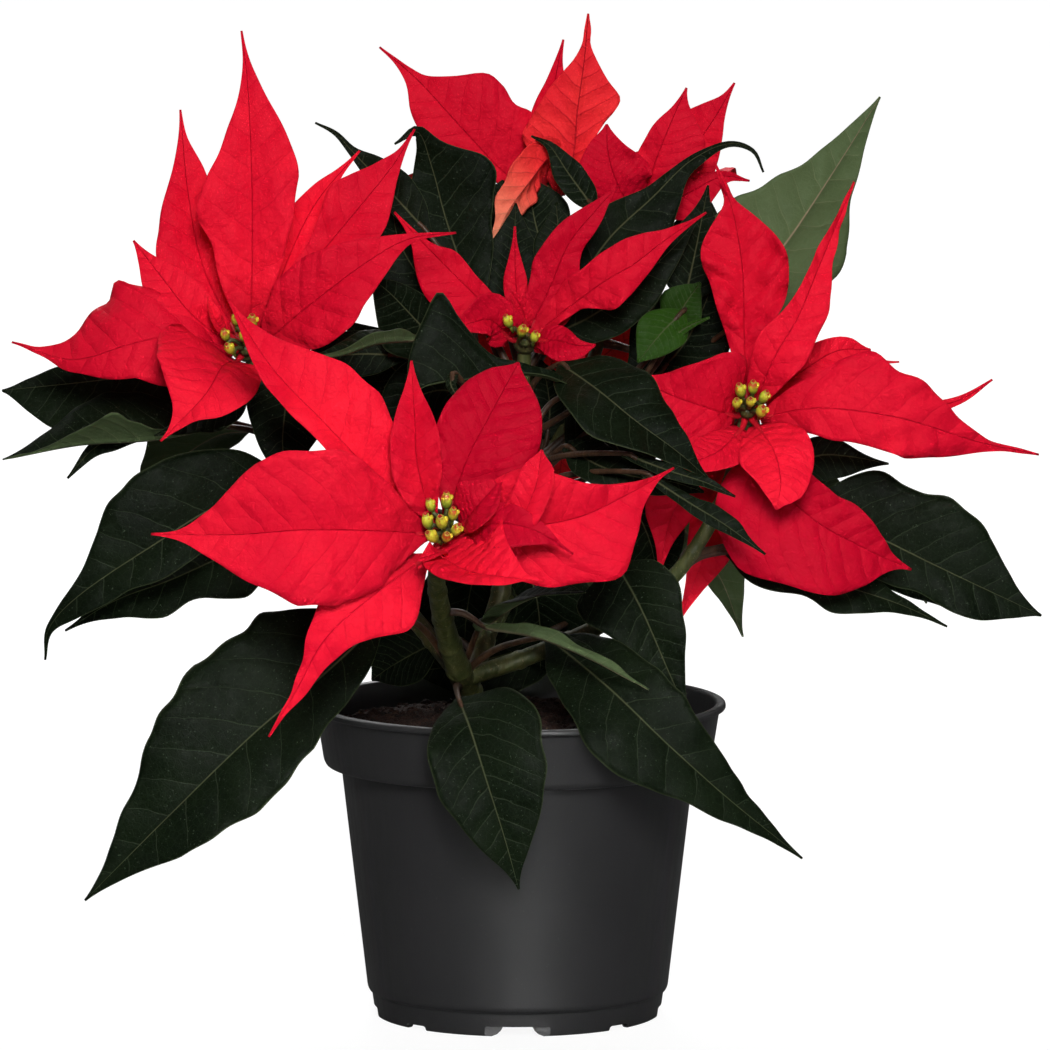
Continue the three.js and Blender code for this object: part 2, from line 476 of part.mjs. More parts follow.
// Each leaf: its stalk from the stem, then its blade as above.
const FRONT_LEAVES = [
  // big, low on the left
  { stalk: [[-23, -22, 117], [-33, -34, 131]],
    rib: [[-44, -42, 134], [-62, -54, 118.5], [-85, -63, 100], [-110, -66, 76], [-138.5, -60, 46.5]],
    face: [0, -0.9, 0.45], left: [1.5, 8, 12, 15, 19, 20.5, 18.5, 15, 9.5, 4],
    right: [1.5, 17, 26, 27.5, 28.5, 27, 22.5, 16, 10, 4], fold: [10, 12], wave: 1.2, waves: 3.5,
    halves: 2 },
  // over the rim, to the front
  { stalk: [[-20, -10, 108], [-21, -34, 111]],
    rib: [[-20, -56, 110.5], [-16, -70, 102], [-11, -77, 87], [-5.5, -78, 69.5], [-1, -75, 52.5]],
    face: [0, -1, 0.15], left: [1.5, 14, 20, 22, 21.5, 20, 16.5, 12.5, 8, 3],
    right: [1.5, 8, 13, 15.5, 16, 16, 14, 10.5, 7, 2.8], fold: [12, 12], wave: 0.6, halves: 2 },
  // over the rim, to the right
  { stalk: [[-20, -15, 112], [-8, -24, 122]],
    rib: [[8, -32, 127], [28, -57, 113.5], [46, -64, 97], [66, -61, 78.5], [89, -51, 58.5]],
    face: [-0.1, -0.85, 0.55], left: [1.5, 9, 13, 15, 15, 13, 10.5, 7.5, 4.5, 1.8],
    right: [1.5, 9, 13, 16, 20.5, 17, 12, 8.5, 5, 2], fold: [10, 4], wave: 0.8, halves: 2 },
  // thin, folded, under the front bloom
  { stalk: [[-27, -50, 137], [-19, -50, 137]],
    rib: [[-12, -52, 133], [5, -64, 131.5], [22, -68, 125], [40, -64, 114.5]], face: [0, -0.2, 1],
    left: [1, 4, 6, 6, 4, 1.5], right: [1, 3, 5, 4, 3, 1.5], fold: [10, 70] },
  // in shade under the front bloom
  { stalk: [[-20, -14, 112], [-17, -18, 120]],
    rib: [[-14, -22, 128], [-2, -42, 139], [8, -58, 144.5], [20, -68, 146]], face: [0, -0.5, 0.9],
    left: [1.5, 8, 11, 11, 7, 3], right: [1.5, 8, 11, 11, 7, 3], fold: [10, 10] },
];

const LEFT_LEAVES = [
  // big, hooked tip
  { stalk: [[-44, 2, 141], [-56, -10, 162]],
    rib: [[-70, -20, 172], [-95, -31, 169.5], [-118, -37, 156.5], [-140, -36, 141.5],
      [-150.5, -30, 130], [-152.5, -24, 118.5]], face: [0, -1, 0.3],
    left: [1.5, 8, 11, 11, 11.5, 11.5, 9, 7.5, 5, 1.4],
    right: [1.5, 10, 17, 20, 21.5, 20.5, 13, 5.5, 2, 1], fold: [12, 12], wave: 1 },
  // behind and below it
  { stalk: [[-36, 2, 130], [-54, -4, 147]],
    rib: [[-72, -12, 159], [-92, -18, 152.5], [-112, -22, 144], [-130, -20, 137], [-146.5, -14, 126.5]],
    face: [0, -0.9, 0.45], left: [1.5, 8, 13, 16, 13, 10, 11.5, 8, 5, 1.8],
    right: [1.5, 7, 10, 11, 11, 10, 8, 6, 4, 1.5], fold: [8, 10], wave: 1 },
  // flat, at the far left
  { stalk: [[-79, -5, 195], [-88, 4, 203]],
    rib: [[-97, 8, 207], [-118, 8, 207], [-140, 6, 204.5], [-167.5, 8, 201.5]], face: [0, -0.9, 0.45],
    left: [1.5, 7, 11, 14, 16, 17, 16, 9], right: [1.5, 5, 7, 8.5, 9, 8, 6, 3], fold: [6, 8] },
  // folded up along its rib
  { stalk: [[-70, -2, 180], [-84, -3, 189]],
    rib: [[-98, -5, 191.5], [-118, -10, 188], [-142, -13, 186.5], [-166.5, -8, 181]],
    face: [0, -0.6, 0.8], left: [1.5, 3, 4, 7, 13, 11, 5, 1.5], right: [1.5, 12, 18, 20, 20, 16, 10, 4],
    fold: [72, 8] },
  { stalk: [[-75, -3, 187], [-88, 6, 190]],
    rib: [[-100, 5, 193], [-120, 1, 189.5], [-136, -3, 185], [-146, -4, 174.5]], face: [0, -0.9, 0.4],
    left: [1.2, 2, 2.5, 3, 4, 2], right: [1.2, 3, 4, 5, 3, 1.5], fold: [8, 8] },
  // under the left bloom
  { stalk: [[-82, -7, 200], [-84, -12, 203]],
    rib: [[-88, -16, 203], [-99, -24, 198.5], [-110, -28, 193.5], [-117, -29, 191]],
    face: [0, -0.7, 0.7], left: [1.5, 6, 9, 9, 6, 2.5], right: [1.5, 6, 8, 8, 5, 2], fold: [8, 8] },
  // hanging in shade beside the front bloom
  { stalk: [[-84, -10, 207], [-78, -14, 213]],
    rib: [[-74, -18, 211], [-75, -28, 202], [-76, -36, 189], [-74, -38, 173]], face: [-0.1, -0.9, 0.3],
    left: [1.5, 9, 13, 14, 12, 8, 3], right: [1.5, 8, 12, 12, 9, 6, 2.5], fold: [8, 8] },
  // at the back
  { stalk: [[-70, -2, 180], [-77, 16, 187]],
    rib: [[-84, 27, 187], [-100, 46, 183], [-117, 60, 169], [-128, 68, 149]], face: [-0.3, 0.6, 0.8],
    left: [1.5, 9, 16, 19, 17, 12, 7, 3], right: [1.5, 9, 16, 19, 17, 12, 7, 3], fold: [10, 10],
    wave: 0.8 },
  { stalk: [[-56, 1, 158], [-63, 20, 163]],
    rib: [[-68, 34, 163], [-82, 58, 162], [-96, 80, 150], [-106, 94, 132]], face: [-0.2, 0.7, 0.7],
    left: [1.5, 10, 18, 21, 19, 13, 7, 3], right: [1.5, 10, 18, 21, 19, 13, 7, 3], fold: [10, 10],
    wave: 0.8 },
];

const RIGHT_LEAVES = [
  // big, far right
  { stalk: [[63, -12, 168], [78, -4, 171]],
    rib: [[92, 2, 166.5], [106, -1, 159.5], [120, -5, 152.8], [140, -8, 143.3], [167, -6, 130.3]],
    face: [0, -1, 0.25], left: [1.5, 13, 20, 18.5, 19.5, 22, 19.5, 15.5, 9, 3.5],
    right: [1.5, 9, 13, 14, 13, 11, 11, 12, 9.5, 5], fold: [8, 10], wave: 1, halves: 2 },
  // its small neighbour above
  { stalk: [[66, -14, 172], [78, -3, 174]],
    rib: [[86, 4, 177], [96, 4, 181], [107, 3, 180.5], [118, 2, 178.5]], face: [0, -1, 0.2],
    left: [1.5, 6, 5, 1.5], right: [1.5, 9, 8, 4], fold: [8, 8] },
  // below it, in shade
  { stalk: [[55, -11, 151], [78, -2, 154]],
    rib: [[98, 4, 150], [116, 3, 143.5], [129, 2, 137], [138.5, 0, 131.5]], face: [0, -0.9, 0.4],
    left: [1.5, 5, 6, 6, 4, 2], right: [1.5, 4, 5, 5, 4, 2], fold: [8, 8] },
  // low, under the right bloom
  { stalk: [[52, -11, 147], [58, -9, 150]],
    rib: [[66, -8, 151], [85, -14, 146], [105, -16, 140.5], [122, -14, 134.5], [136.5, -10, 127.3]],
    face: [0, -0.8, 0.6], left: [1.5, 8, 10, 10, 10, 9, 7, 4.5, 2.5, 1],
    right: [1.5, 7, 9.5, 8.5, 9, 11, 8.5, 5, 3, 1], fold: [8, 8], wave: 0.8 },
  // hanging over the rim, right of the front bloom
  { stalk: [[26, -6, 127], [26, -22, 144]],
    rib: [[30, -34, 151], [38, -42, 137], [46, -46, 119], [52, -47.5, 105], [53.8, -48, 96.5]],
    face: [0, -1, 0.1], left: [1.5, 11, 14, 14, 12, 10, 7, 4, 1.8, 1],
    right: [1.5, 12, 15, 13, 10.5, 8.5, 7, 4.5, 2.5, 1.2], fold: [14, 14], wave: 0.5 },
  // at the back
  { stalk: [[63, -12, 168], [80, 2, 167]],
    rib: [[87, 20, 168], [103, 40, 161], [122, 56, 146], [133, 64, 125]], face: [0.3, 0.6, 0.8],
    left: [1.5, 9, 16, 19, 17, 12, 7, 3], right: [1.5, 9, 16, 19, 17, 12, 7, 3], fold: [10, 10],
    wave: 0.8 },
  { stalk: [[28, -6, 128], [40, 14, 130]],
    rib: [[56, 34, 150], [78, 58, 163], [99, 80, 158], [114, 94, 142]], face: [0.2, 0.7, 0.7],
    left: [1.5, 10, 18, 21, 19, 13, 7, 3], right: [1.5, 10, 18, 21, 19, 13, 7, 3], fold: [10, 10],
    wave: 0.8 },
];

const CENTRE_LEAVES = [
  // upright, hooked tip, its face to the front
  { stalk: [[-1, 5, 198], [-8, 10, 213]],
    rib: [[-14, 15, 226], [-20, 21, 242], [-25, 24, 257], [-29, 24, 272], [-33.5, 20, 284],
      [-41, 16, 280.5]], face: [0, -1, 0.1], left: [1.5, 6, 10, 13, 14, 14, 10, 6, 3, 1.5],
    right: [1.5, 6, 10, 13, 15, 17, 20, 16, 5, 1.5], fold: [10, 10], wave: 0.6 },
  // thin tip to the upper left
  { stalk: [[-1, 4, 203], [-17, 8, 234]],
    rib: [[-30, 10, 252], [-44, 14, 267], [-54, 15, 277.5], [-60, 15, 284], [-66.5, 14, 287.5]],
    face: [0, -1, 0.2], left: [1.5, 4, 4.5, 4, 2.5, 1.4, 0.8], right: [1.5, 6, 7.5, 7.5, 5, 1.6, 0.8],
    fold: [10, 10] },
  // behind the centre bloom, hooked over at the tip
  { stalk: [[0, 5, 205], [9, 12, 220]],
    rib: [[16, 17, 232], [28, 24, 249], [42, 28, 263.5], [55, 30, 277], [69, 28, 283], [79, 26, 273.5]],
    face: [0, -1, 0.2], left: [1.5, 7, 9, 8.5, 6, 3.5, 2, 1.3, 0.9, 0.7],
    right: [1.5, 8, 13, 16, 14, 9, 4.5, 2.8, 1.4, 0.8], fold: [8, 10] },
  // under the centre bloom's right bract
  { stalk: [[0, 5, 206], [4, 10, 213]],
    rib: [[9, 10, 219], [23, 8, 226], [36, 7, 236], [48, 9, 247], [56, 10, 256]], face: [0, -1, 0.3],
    left: [1.5, 5, 7, 8, 8, 6, 3], right: [1.5, 7, 10, 10.5, 9, 6, 3], fold: [8, 8] },
  // folded, in front of the centre bloom
  { stalk: [[0, 4, 186], [14, -10, 196]],
    rib: [[22, -19, 203], [5, -32, 211], [-14, -37, 210.5], [-29, -41, 209], [-36, -41, 204.5]],
    face: [0, -0.95, 0.3], left: [1.5, 3.5, 4, 4, 4, 4.5, 4, 3, 1.5, 1],
    right: [1.5, 2.5, 3, 3, 5, 9, 17, 26, 28, 15], fold: [80, 6] },
  { stalk: [[-1, 6, 172], [-12, -30, 198]], rib: [[-21, -46, 213], [-22.5, -52, 210], [-18.5, -55, 204]],
    face: [0, -1, 0.2], left: [1, 1.8, 1.2], right: [1, 1.8, 1.2], fold: [6, 6] },
  // along the top edge of the front bloom's upper left bract
  { stalk: [[-1, 5, 194], [-19, -10, 212]],
    rib: [[-34, -28, 222], [-46, -45, 222.5], [-58, -55, 219.5], [-69, -59, 219.5]],
    face: [0, -0.6, 0.8], left: [1.5, 4, 5, 5, 4, 2], right: [1.5, 5, 6, 6, 5, 2.5], fold: [80, 8] },
  { stalk: [[-1, 5, 192], [-12, 6, 206]],
    rib: [[-24, 4, 214], [-34, 0, 225], [-42, -5, 234], [-49, -7, 240]], face: [0, -1, 0.4],
    left: [1.5, 10, 14, 13, 7], right: [1.5, 6, 8, 7, 4], fold: [8, 8] },
  // wavy, between the front and the right bloom
  { stalk: [[-1, 6, 182], [3, -6, 204]],
    rib: [[12, -18, 213], [24, -32, 206], [36, -40, 197], [50, -44, 187], [60, -44, 178]],
    face: [0, -0.7, 0.7], left: [1.5, 10, 14, 15, 14, 11, 7, 3], right: [1.5, 9, 13, 16, 16, 12, 7, 3],
    fold: [8, 14], wave: 1.4, waves: 3 },
  // narrow young leaves below it
  { stalk: [[-1, 7, 176], [14, -22, 184]],
    rib: [[32, -42, 187], [45, -47, 182.5], [58, -49, 178.5], [67.5, -49, 174]], face: [0, -0.9, 0.4],
    left: [1, 2, 2.4, 2.2, 1.5], right: [1, 2, 2.4, 2.2, 1.5], fold: [8, 8] },
  { stalk: [[-1, 7, 168], [16, -22, 178]],
    rib: [[38, -42, 181], [52, -48, 172.5], [64, -52, 165.5], [77, -52, 156]], face: [0, -0.9, 0.4],
    left: [1, 1.6, 2.2, 2.8, 3.8, 3.6, 1.3], right: [1, 1.6, 2.2, 2.8, 3, 2.4, 1], fold: [8, 8] },
  // small ones in shade between the upper blooms
  { stalk: [[3, 28, 190], [-2, 24, 210]], rib: [[-6, 22, 226], [-3, 28, 243], [-2, 31, 260]],
    face: [0, -1, 0.2], left: [1.5, 7, 9, 8, 4], right: [1.5, 7, 9, 8, 4], fold: [8, 8] },
  { stalk: [[4, 34, 206], [10, 22, 218]], rib: [[12, 20, 232], [12, 26, 247], [11, 29, 260.5]],
    face: [0, -1, 0.2], left: [1.5, 6, 8.5, 8, 4], right: [1.5, 7, 9, 8, 4], fold: [8, 8] },
  { stalk: [[6, 42, 226], [16, 34, 244]],
    rib: [[24, 28, 257.5], [19, 33, 264], [14.5, 36, 270], [9, 37, 278], [3, 35, 281.5]],
    face: [0, -1, 0.3], left: [1, 4, 5, 5, 3, 1.2], right: [1, 4, 5, 5, 3, 1.2], fold: [10, 10] },
  { stalk: [[30, 40, 228], [44, 24, 226]], rib: [[52, 17, 228], [56, 18, 246], [60, 18, 267]],
    face: [0, -1, 0.2], left: [1.5, 7, 8, 6, 3], right: [1.5, 7, 8, 6, 3], fold: [8, 8] },
  { stalk: [[-2, 9, 150], [-14, 22, 172]], rib: [[-24, 28, 188], [-42, 34, 206], [-58, 34, 222]],
    face: [0, -1, 0.3], left: [1.5, 12, 16, 13, 6], right: [1.5, 12, 16, 13, 6], fold: [8, 8] },
  // upright at the back, its underside to the front
  { stalk: [[27, 37, 214], [50, 28, 210]],
    rib: [[67, 16, 221], [78, 23, 238], [89.5, 27, 253.5], [104, 27, 276], [115.5, 25, 295]],
    face: [-0.1, 1, -0.1], left: [1.5, 9, 16, 19, 20, 17, 11.5, 8, 5, 2.3],
    right: [1.5, 12, 20, 23.5, 22, 17, 12, 8, 5, 2.5], fold: [8, 8], wave: 0.8, halves: 2 },
  // young bright leaf and its narrow neighbours
  { stalk: [[8, 17, 178], [40, 8, 206]], rib: [[52, 0, 228], [45, -6, 222], [37, -9, 212.5]],
    face: [0.1, -0.9, 0.4], left: [1.5, 6, 8, 7, 4], right: [1.5, 5, 7.5, 8, 4.5], fold: [8, 8] },
  { stalk: [[8, 17, 176], [34, 2, 200]], rib: [[45, -5, 217.5], [52.5, -6.8, 223.4], [60, -9.5, 227]],
    face: [0, -1, 0.2], left: [1, 1.7, 1], right: [1, 1.7, 1], fold: [6, 6] },
  { stalk: [[8, 17, 180], [36, 18, 206]], rib: [[48, 14, 220], [52, 14, 228], [57.5, 13, 236]],
    face: [0, -1, 0.2], left: [1.5, 5, 6, 4], right: [1.5, 5, 6, 4], fold: [8, 8] },
  // large dark ones that close the middle, seen between the blooms
  { stalk: [[-14, 3, 115], [-20, 18, 119]],
    rib: [[-26, 26, 118], [-35, 30, 113], [-43, 33, 108], [-49, 35, 103.5]], face: [0, -0.8, 0.6],
    left: [1.5, 9, 10, 8, 5], right: [1.5, 10, 14, 13, 8], fold: [8, 8] },
  { stalk: [[-10, 7, 130], [-7, 10, 146]],
    rib: [[-10, 16, 150], [-15, 26, 141], [-18, 32, 126], [-19, 36, 109]], face: [0, -1, 0.2],
    left: [1.5, 8, 11, 11, 7], right: [1.5, 8, 11, 11, 7], fold: [8, 8] },
  { stalk: [[-6, 8, 138], [-2, 14, 144]], rib: [[-1, 22, 144], [4, 32, 134], [6, 39, 119], [6, 42, 106]],
    face: [0, -1, 0.2], left: [1.5, 8, 11, 11, 7], right: [1.5, 8, 11, 11, 7], fold: [8, 8] },
  { stalk: [[0, 12, 164], [20, 14, 172]],
    rib: [[29, 16, 172], [37, 18, 161], [42, 22, 149], [44, 26, 136]], face: [0, -1, 0.2],
    left: [1.5, 8, 9, 8, 4], right: [1.5, 8, 9, 8, 4], fold: [8, 8] },
  { stalk: [[-1, 6, 182], [8, 8, 196]],
    rib: [[14, 12, 199], [24, 14, 191], [32, 16, 180], [36, 17, 167]], face: [0, -1, 0.2],
    left: [1.5, 9, 11, 10, 6], right: [1.5, 9, 11, 10, 6], fold: [8, 8] },
  { stalk: [[22, 33, 204], [36, 28, 200]],
    rib: [[44, 24, 205], [53, 22, 216], [59, 21, 228], [63, 21, 240]], face: [0, -1, 0.2],
    left: [1.5, 9, 12, 11, 6], right: [1.5, 9, 11, 9, 5], fold: [8, 8] },
  { stalk: [[-1, 6, 190], [-12, 10, 210]],
    rib: [[-20, 12, 222], [-32, 15, 236], [-40, 17, 250], [-42, 17, 264]], face: [0, -1, 0.2],
    left: [1.5, 9, 11, 10, 6], right: [1.5, 9, 11, 10, 6], fold: [8, 8] },
  { stalk: [[-1, 6, 186], [-24, 6, 208]],
    rib: [[-38, 3, 213], [-50, 2, 214], [-62, 1, 213], [-73, 0, 209]], face: [0, -1, 0.3],
    left: [1.5, 6, 8, 7, 4], right: [1.5, 6, 8, 7, 4], fold: [8, 8] },
  { stalk: [[5, 38, 214], [8, 39, 228]], rib: [[8, 40, 240], [4, 43, 254], [2, 45, 268]],
    face: [0, -1, 0.1], left: [1.5, 9, 12, 9], right: [1.5, 9, 12, 9], fold: [8, 8] },
  // at the back
  { stalk: [[3, 28, 190], [-6, 44, 191]],
    rib: [[-14, 58, 187], [-30, 78, 184], [-46, 92, 170], [-56, 98, 148]], face: [-0.2, 0.7, 0.8],
    left: [1.5, 10, 18, 21, 19, 13, 7, 3], right: [1.5, 10, 18, 21, 19, 13, 7, 3], fold: [10, 10],
    wave: 0.8 },
  { stalk: [[-4, 30, 130], [-2, 46, 137]],
    rib: [[0, 60, 137], [4, 84, 129], [7, 104, 109], [8, 116, 87]], face: [0, 0.7, 0.7],
    left: [1.5, 10, 18, 21, 19, 13, 7, 3], right: [1.5, 10, 18, 21, 19, 13, 7, 3], fold: [10, 10],
    wave: 0.8 },
  { stalk: [[5, 67, 158], [22, 74, 160]],
    rib: [[34, 82, 157], [52, 100, 147], [66, 114, 128], [74, 122, 106]], face: [0.3, 0.7, 0.7],
    left: [1.5, 9, 16, 19, 17, 12, 7, 3], right: [1.5, 9, 16, 19, 17, 12, 7, 3], fold: [10, 10],
    wave: 0.8 },
  { stalk: [[15, 25, 190], [28, 42, 196]],
    rib: [[40, 56, 196], [56, 78, 192], [70, 96, 176], [80, 108, 156]], face: [0.3, 0.6, 0.8],
    left: [1.5, 9, 16, 19, 17, 12, 7, 3], right: [1.5, 9, 16, 19, 17, 12, 7, 3], fold: [10, 10],
    wave: 0.8 },
  { stalk: [[-3, 10, 140], [-18, 26, 156]],
    rib: [[-34, 40, 160], [-48, 62, 156], [-62, 84, 142], [-72, 98, 120]], face: [-0.3, 0.7, 0.7],
    left: [1.5, 9, 16, 19, 17, 12, 7, 3], right: [1.5, 9, 16, 19, 17, 12, 7, 3], fold: [10, 10],
    wave: 0.8 },
];

// ---- pot ------------------------------------------------------------------

/** A closed profile of [radius, height] pairs turned round the pot's axis. */
function turned(profile, segments) {
  const points = profile.map(([radius, height]) => new THREE.Vector2(radius, height));
  const geometry = new THREE.LatheGeometry(points, segments);
  geometry.rotateX(Math.PI / 2);
  return solidOf(geometry);
}

/** Radius of the pot's outer wall at a height between its base and its rim band. */
function wallRadius(z) {
  return THREE.MathUtils.mapLinear(z, BASE_STEP, RIM_BOTTOM, WALL_LOW_RADIUS, WALL_HIGH_RADIUS);
}

/** A block that cuts a foot notch into the base ring, turned to its place. */
function notch(width, height, depth, angle) {
  const geometry = new THREE.BoxGeometry(width, depth, height * 2);
  geometry.translate(0, -(BASE_RADIUS + 1 - depth / 2), 0);
  geometry.rotateZ(angle);
  return solidOf(geometry);
}

/** An upright cylinder that cuts a hole, centred on a place and then turned round the pot's axis. */
function upright(radius, height, sides, centre, angle = 0) {
  const geometry = new THREE.CylinderGeometry(radius, radius, height, sides).rotateX(Math.PI / 2);
  return solidOf(geometry.translate(...centre).rotateZ(angle));
}

function pot() {
  const inner = (z) => wallRadius(z) - WALL;
  const profile = [
    [0, FLOOR_UNDER],
    [BASE_RADIUS - RING_WIDTH, FLOOR_UNDER],
    [BASE_RADIUS - RING_WIDTH, 0],
    [BASE_RADIUS - 0.5, 0],
    [BASE_RADIUS, 0.8],
    [BASE_RADIUS + 0.8, BASE_STEP - 1.6],
    [WALL_LOW_RADIUS - 0.2, BASE_STEP],
    [WALL_HIGH_RADIUS, RIM_BOTTOM],
    [RIM_LOW_RADIUS - 0.8, RIM_BOTTOM],
    [RIM_LOW_RADIUS, RIM_BOTTOM + 1.4],
    [RIM_HIGH_RADIUS, POT_HEIGHT - LIP_DEPTH],
    [LIP_RADIUS - 0.4, POT_HEIGHT - LIP_DEPTH],
    [LIP_RADIUS, POT_HEIGHT - LIP_DEPTH / 2],
    [LIP_RADIUS - 0.8, POT_HEIGHT],
    [RIM_HIGH_RADIUS - WALL, POT_HEIGHT],
    [RIM_LOW_RADIUS - WALL, RIM_BOTTOM + WALL],
    [inner(RIM_BOTTOM), RIM_BOTTOM + WALL],
    [inner(FLOOR_TOP), FLOOR_TOP],
    [0, FLOOR_TOP],
  ];
  let solid = turned(profile, POT_SEGMENTS);
  for (let k = 0; k < 4; k += 1) {
    const angle = (k * Math.PI) / 2;
    const between = angle + Math.PI / 4;
    const through = RING_WIDTH + 2;
    solid = solid.subtract(notch(DRAIN_WIDTH, DRAIN_HEIGHT, RING_WIDTH / 2 + 1, angle));
    solid = solid.subtract(notch(DRAIN_INNER_WIDTH, DRAIN_HEIGHT, through, angle));
    solid = solid.subtract(notch(SMALL_NOTCH_WIDTH, SMALL_NOTCH_HEIGHT, through, between));
    solid = solid.subtract(upright(DRAIN_HOLE_RADIUS, 2 * FLOOR_TOP, 12, [0, -DRAIN_HOLE_PLACE, 0], between));
  }
  return solid;
}

// ---- soil -----------------------------------------------------------------

/** Height of the peat at a place: mounded in the middle, uneven all over. */
function soilHeight(x, y) {
  const radius = Math.hypot(x, y);
  const mound = SOIL_EDGE + (SOIL_MIDDLE - SOIL_EDGE) * (1 - (radius / RIM_LOW_RADIUS) ** 2);
  return mound + 0.7 * Math.sin(0.31 * x + 1) * Math.cos(0.27 * y) + 0.4 * Math.sin(0.62 * y + 0.2 * x);
}

function soil() {
  const TOP = 200; // stands for the uneven surface until it is laid
  const inner = (z) => wallRadius(z) - WALL - GAP;
  const rimInner = RIM_LOW_RADIUS - WALL - GAP;
  const shelf = RIM_BOTTOM + WALL + GAP;
  const profile = [
    [0, FLOOR_TOP + GAP],
    [inner(FLOOR_TOP), FLOOR_TOP + GAP],
    [inner(RIM_BOTTOM), shelf],
    [rimInner, shelf],
    [rimInner, SOIL_EDGE],
    ...SOIL_RINGS.map((radius) => [radius, TOP]),
  ];
  const points = profile.map(([radius, height]) => new THREE.Vector2(radius, height));
  const geometry = new THREE.LatheGeometry(points, SOIL_SEGMENTS).rotateX(Math.PI / 2);
  const place = geometry.attributes.position;
  for (let k = 0; k < place.count; k += 1) {
    if (place.getZ(k) === TOP) place.setZ(k, soilHeight(place.getX(k), place.getY(k)));
  }
  const depth = 60;
  const middle = [PLANT_X + TRUNK_X, TRUNK_Y, TRUNK_FOOT - GAP + depth / 2];
  return solidOf(geometry).subtract(upright(HOLE_RADIUS, depth, 16, middle));
}

// ---- stems ----------------------------------------------------------------

// Each stem: the points that it passes, and its radii at even steps from its foot to its end.
const TRUNK = {
  path: [[TRUNK_X, TRUNK_Y, TRUNK_FOOT], [TRUNK_X, TRUNK_Y, 86], [TRUNK_X, TRUNK_Y, 98], [-18, -8, 108],
    [-21, -22, 117], [-25, -45, 134], [-27, -66, 151], [-24.5, -82, 164]],
  radii: [TRUNK_RADIUS, TRUNK_RADIUS, TRUNK_RADIUS, 4, 3.6, 3.2, 2.8, 2.4],
  sides: 7,
  steps: 11,
};
const CENTRE_STEMS = [
  { path: [[-18, -6, 107], [-13, 4, 118], [-6, 8, 140], [-1, 7, 175], [0, 4, 200], [1, 1, 216]],
    radii: [3.4, 3, 2.6, 2.2] },
  { path: [[-4, 8, 148], [1, 22, 178], [5, 40, 218], [8, 54, 248], [9, 59, 257]], radii: [2.4, 2.2, 2] },
  { path: [[-8, 7, 128], [-4, 30, 132], [2, 52, 146], [7, 80, 168], [10, 100, 187]],
    radii: [2.6, 2.4, 2.2, 2] },
  { path: [[0, 8, 166], [15, 25, 190], [28, 40, 222], [37, 50, 248], [39.5, 53, 254]],
    radii: [2.2, 2, 1.8] },
];
const LEFT_STEMS = [
  { path: [[-19, -8, 110], [-28, 2, 120], [-40, 2, 135], [-56, 1, 158], [-70, -2, 180], [-80, -6, 198],
      [-87, -12, 214]], radii: [3, 2.8, 2.5, 2.2, 2], steps: 7 },
];
const RIGHT_STEMS = [
  { path: [[-18, -12, 111], [2, -6, 117], [25, -6, 127], [46, -10, 141], [58, -13, 157], [66, -14, 174],
      [71, -15, 193]], radii: [3, 2.8, 2.6, 2.4, 2.2, 2], steps: 7 },
];

/** A leafy stem: its branches and its leaves, with room left for what it meets. */
function leafyStem(branches, leaves, rooms) {
  const blades = leaves.map((leaf) => blade({ ...leaf, thickness: LEAF_THICKNESS }));
  return rooms.reduce((solid, room) => solid.subtract(room), fuse([...branches.map(stem), ...blades]));
}

// ---- blooms ---------------------------------------------------------------

const BLOOMS = [
  { name: 'left', hub: [-88, -14, 217], bracts: LEFT_BRACTS, front: [0, -1, 0.25],
    buds: [[-91, -24.5, 228], [-94.5, -25.5, 223], [-93, -27, 218.8], [-86, -24.5, 227],
      [-84, -26, 222.5], [-88.7, -26, 222.8]] },
  { name: 'front', hub: [-24, -84, 166], bracts: FRONT_BRACTS, front: [0, -0.9, 0.4],
    buds: [[-28.5, -92, 176.5], [-23.5, -92, 178], [-21.5, -94, 174], [-29.5, -92, 171.5],
      [-25, -94, 171.5], [-20.5, -93, 169], [-28, -94, 167], [-23.5, -95, 167]] },
  { name: 'right', hub: [72, -16, 197], bracts: RIGHT_BRACTS, front: [0, -1, 0.25],
    buds: [[69.5, -28, 205.5], [73.5, -28, 206.5], [77, -28.5, 203.5], [68.3, -28.5, 201.5],
      [72.7, -29, 202], [76.2, -29, 199]] },
  { name: 'centre', hub: [1, 0, 218], bracts: CENTRE_BRACTS, front: [0, -1, 0.3],
    buds: [[-4.5, -12, 226], [0, -12.5, 223], [4, -12, 221]] },
  { name: 'back_top', hub: [9, 60, 260], bracts: BACK_TOP_BRACTS, front: [0, -0.15, 1],
    buds: [[6.5, 59, 269], [10, 60.5, 269.5], [11.5, 57.5, 269]] },
  { name: 'back_right', hub: [40, 54, 256], bracts: BACK_RIGHT_BRACTS, front: [0, -0.1, 1],
    buds: [[38, 53.5, 265], [40.5, 56.5, 265.5], [39.8, 50.6, 266.5]] },
  { name: 'back', hub: [10, 103, 190], bracts: BACK_BRACTS, front: [0, 1, 0.3],
    buds: [[6.5, 112.5, 195], [13, 112.5, 195.5], [9.5, 113.5, 191]] },
];

/** A bract with the short claw that reaches into the hub as its stalk. */
function clawed(bract, hub) {
  const claw = bract.rib[0].map((value, k) => hub[k] + (value - hub[k]) * CLAW_REACH);
  return { ...bract, stalk: [claw] };
}

/** The red bracts of a bloom, with their roots sunk in its hub. */
function bracts({ hub, bracts: list }) {
  return fuse([ball(hub, [HUB_RADIUS, HUB_RADIUS, HUB_RADIUS]),
    ...list.map((bract) => blade(clawed(bract, hub)))]);
}

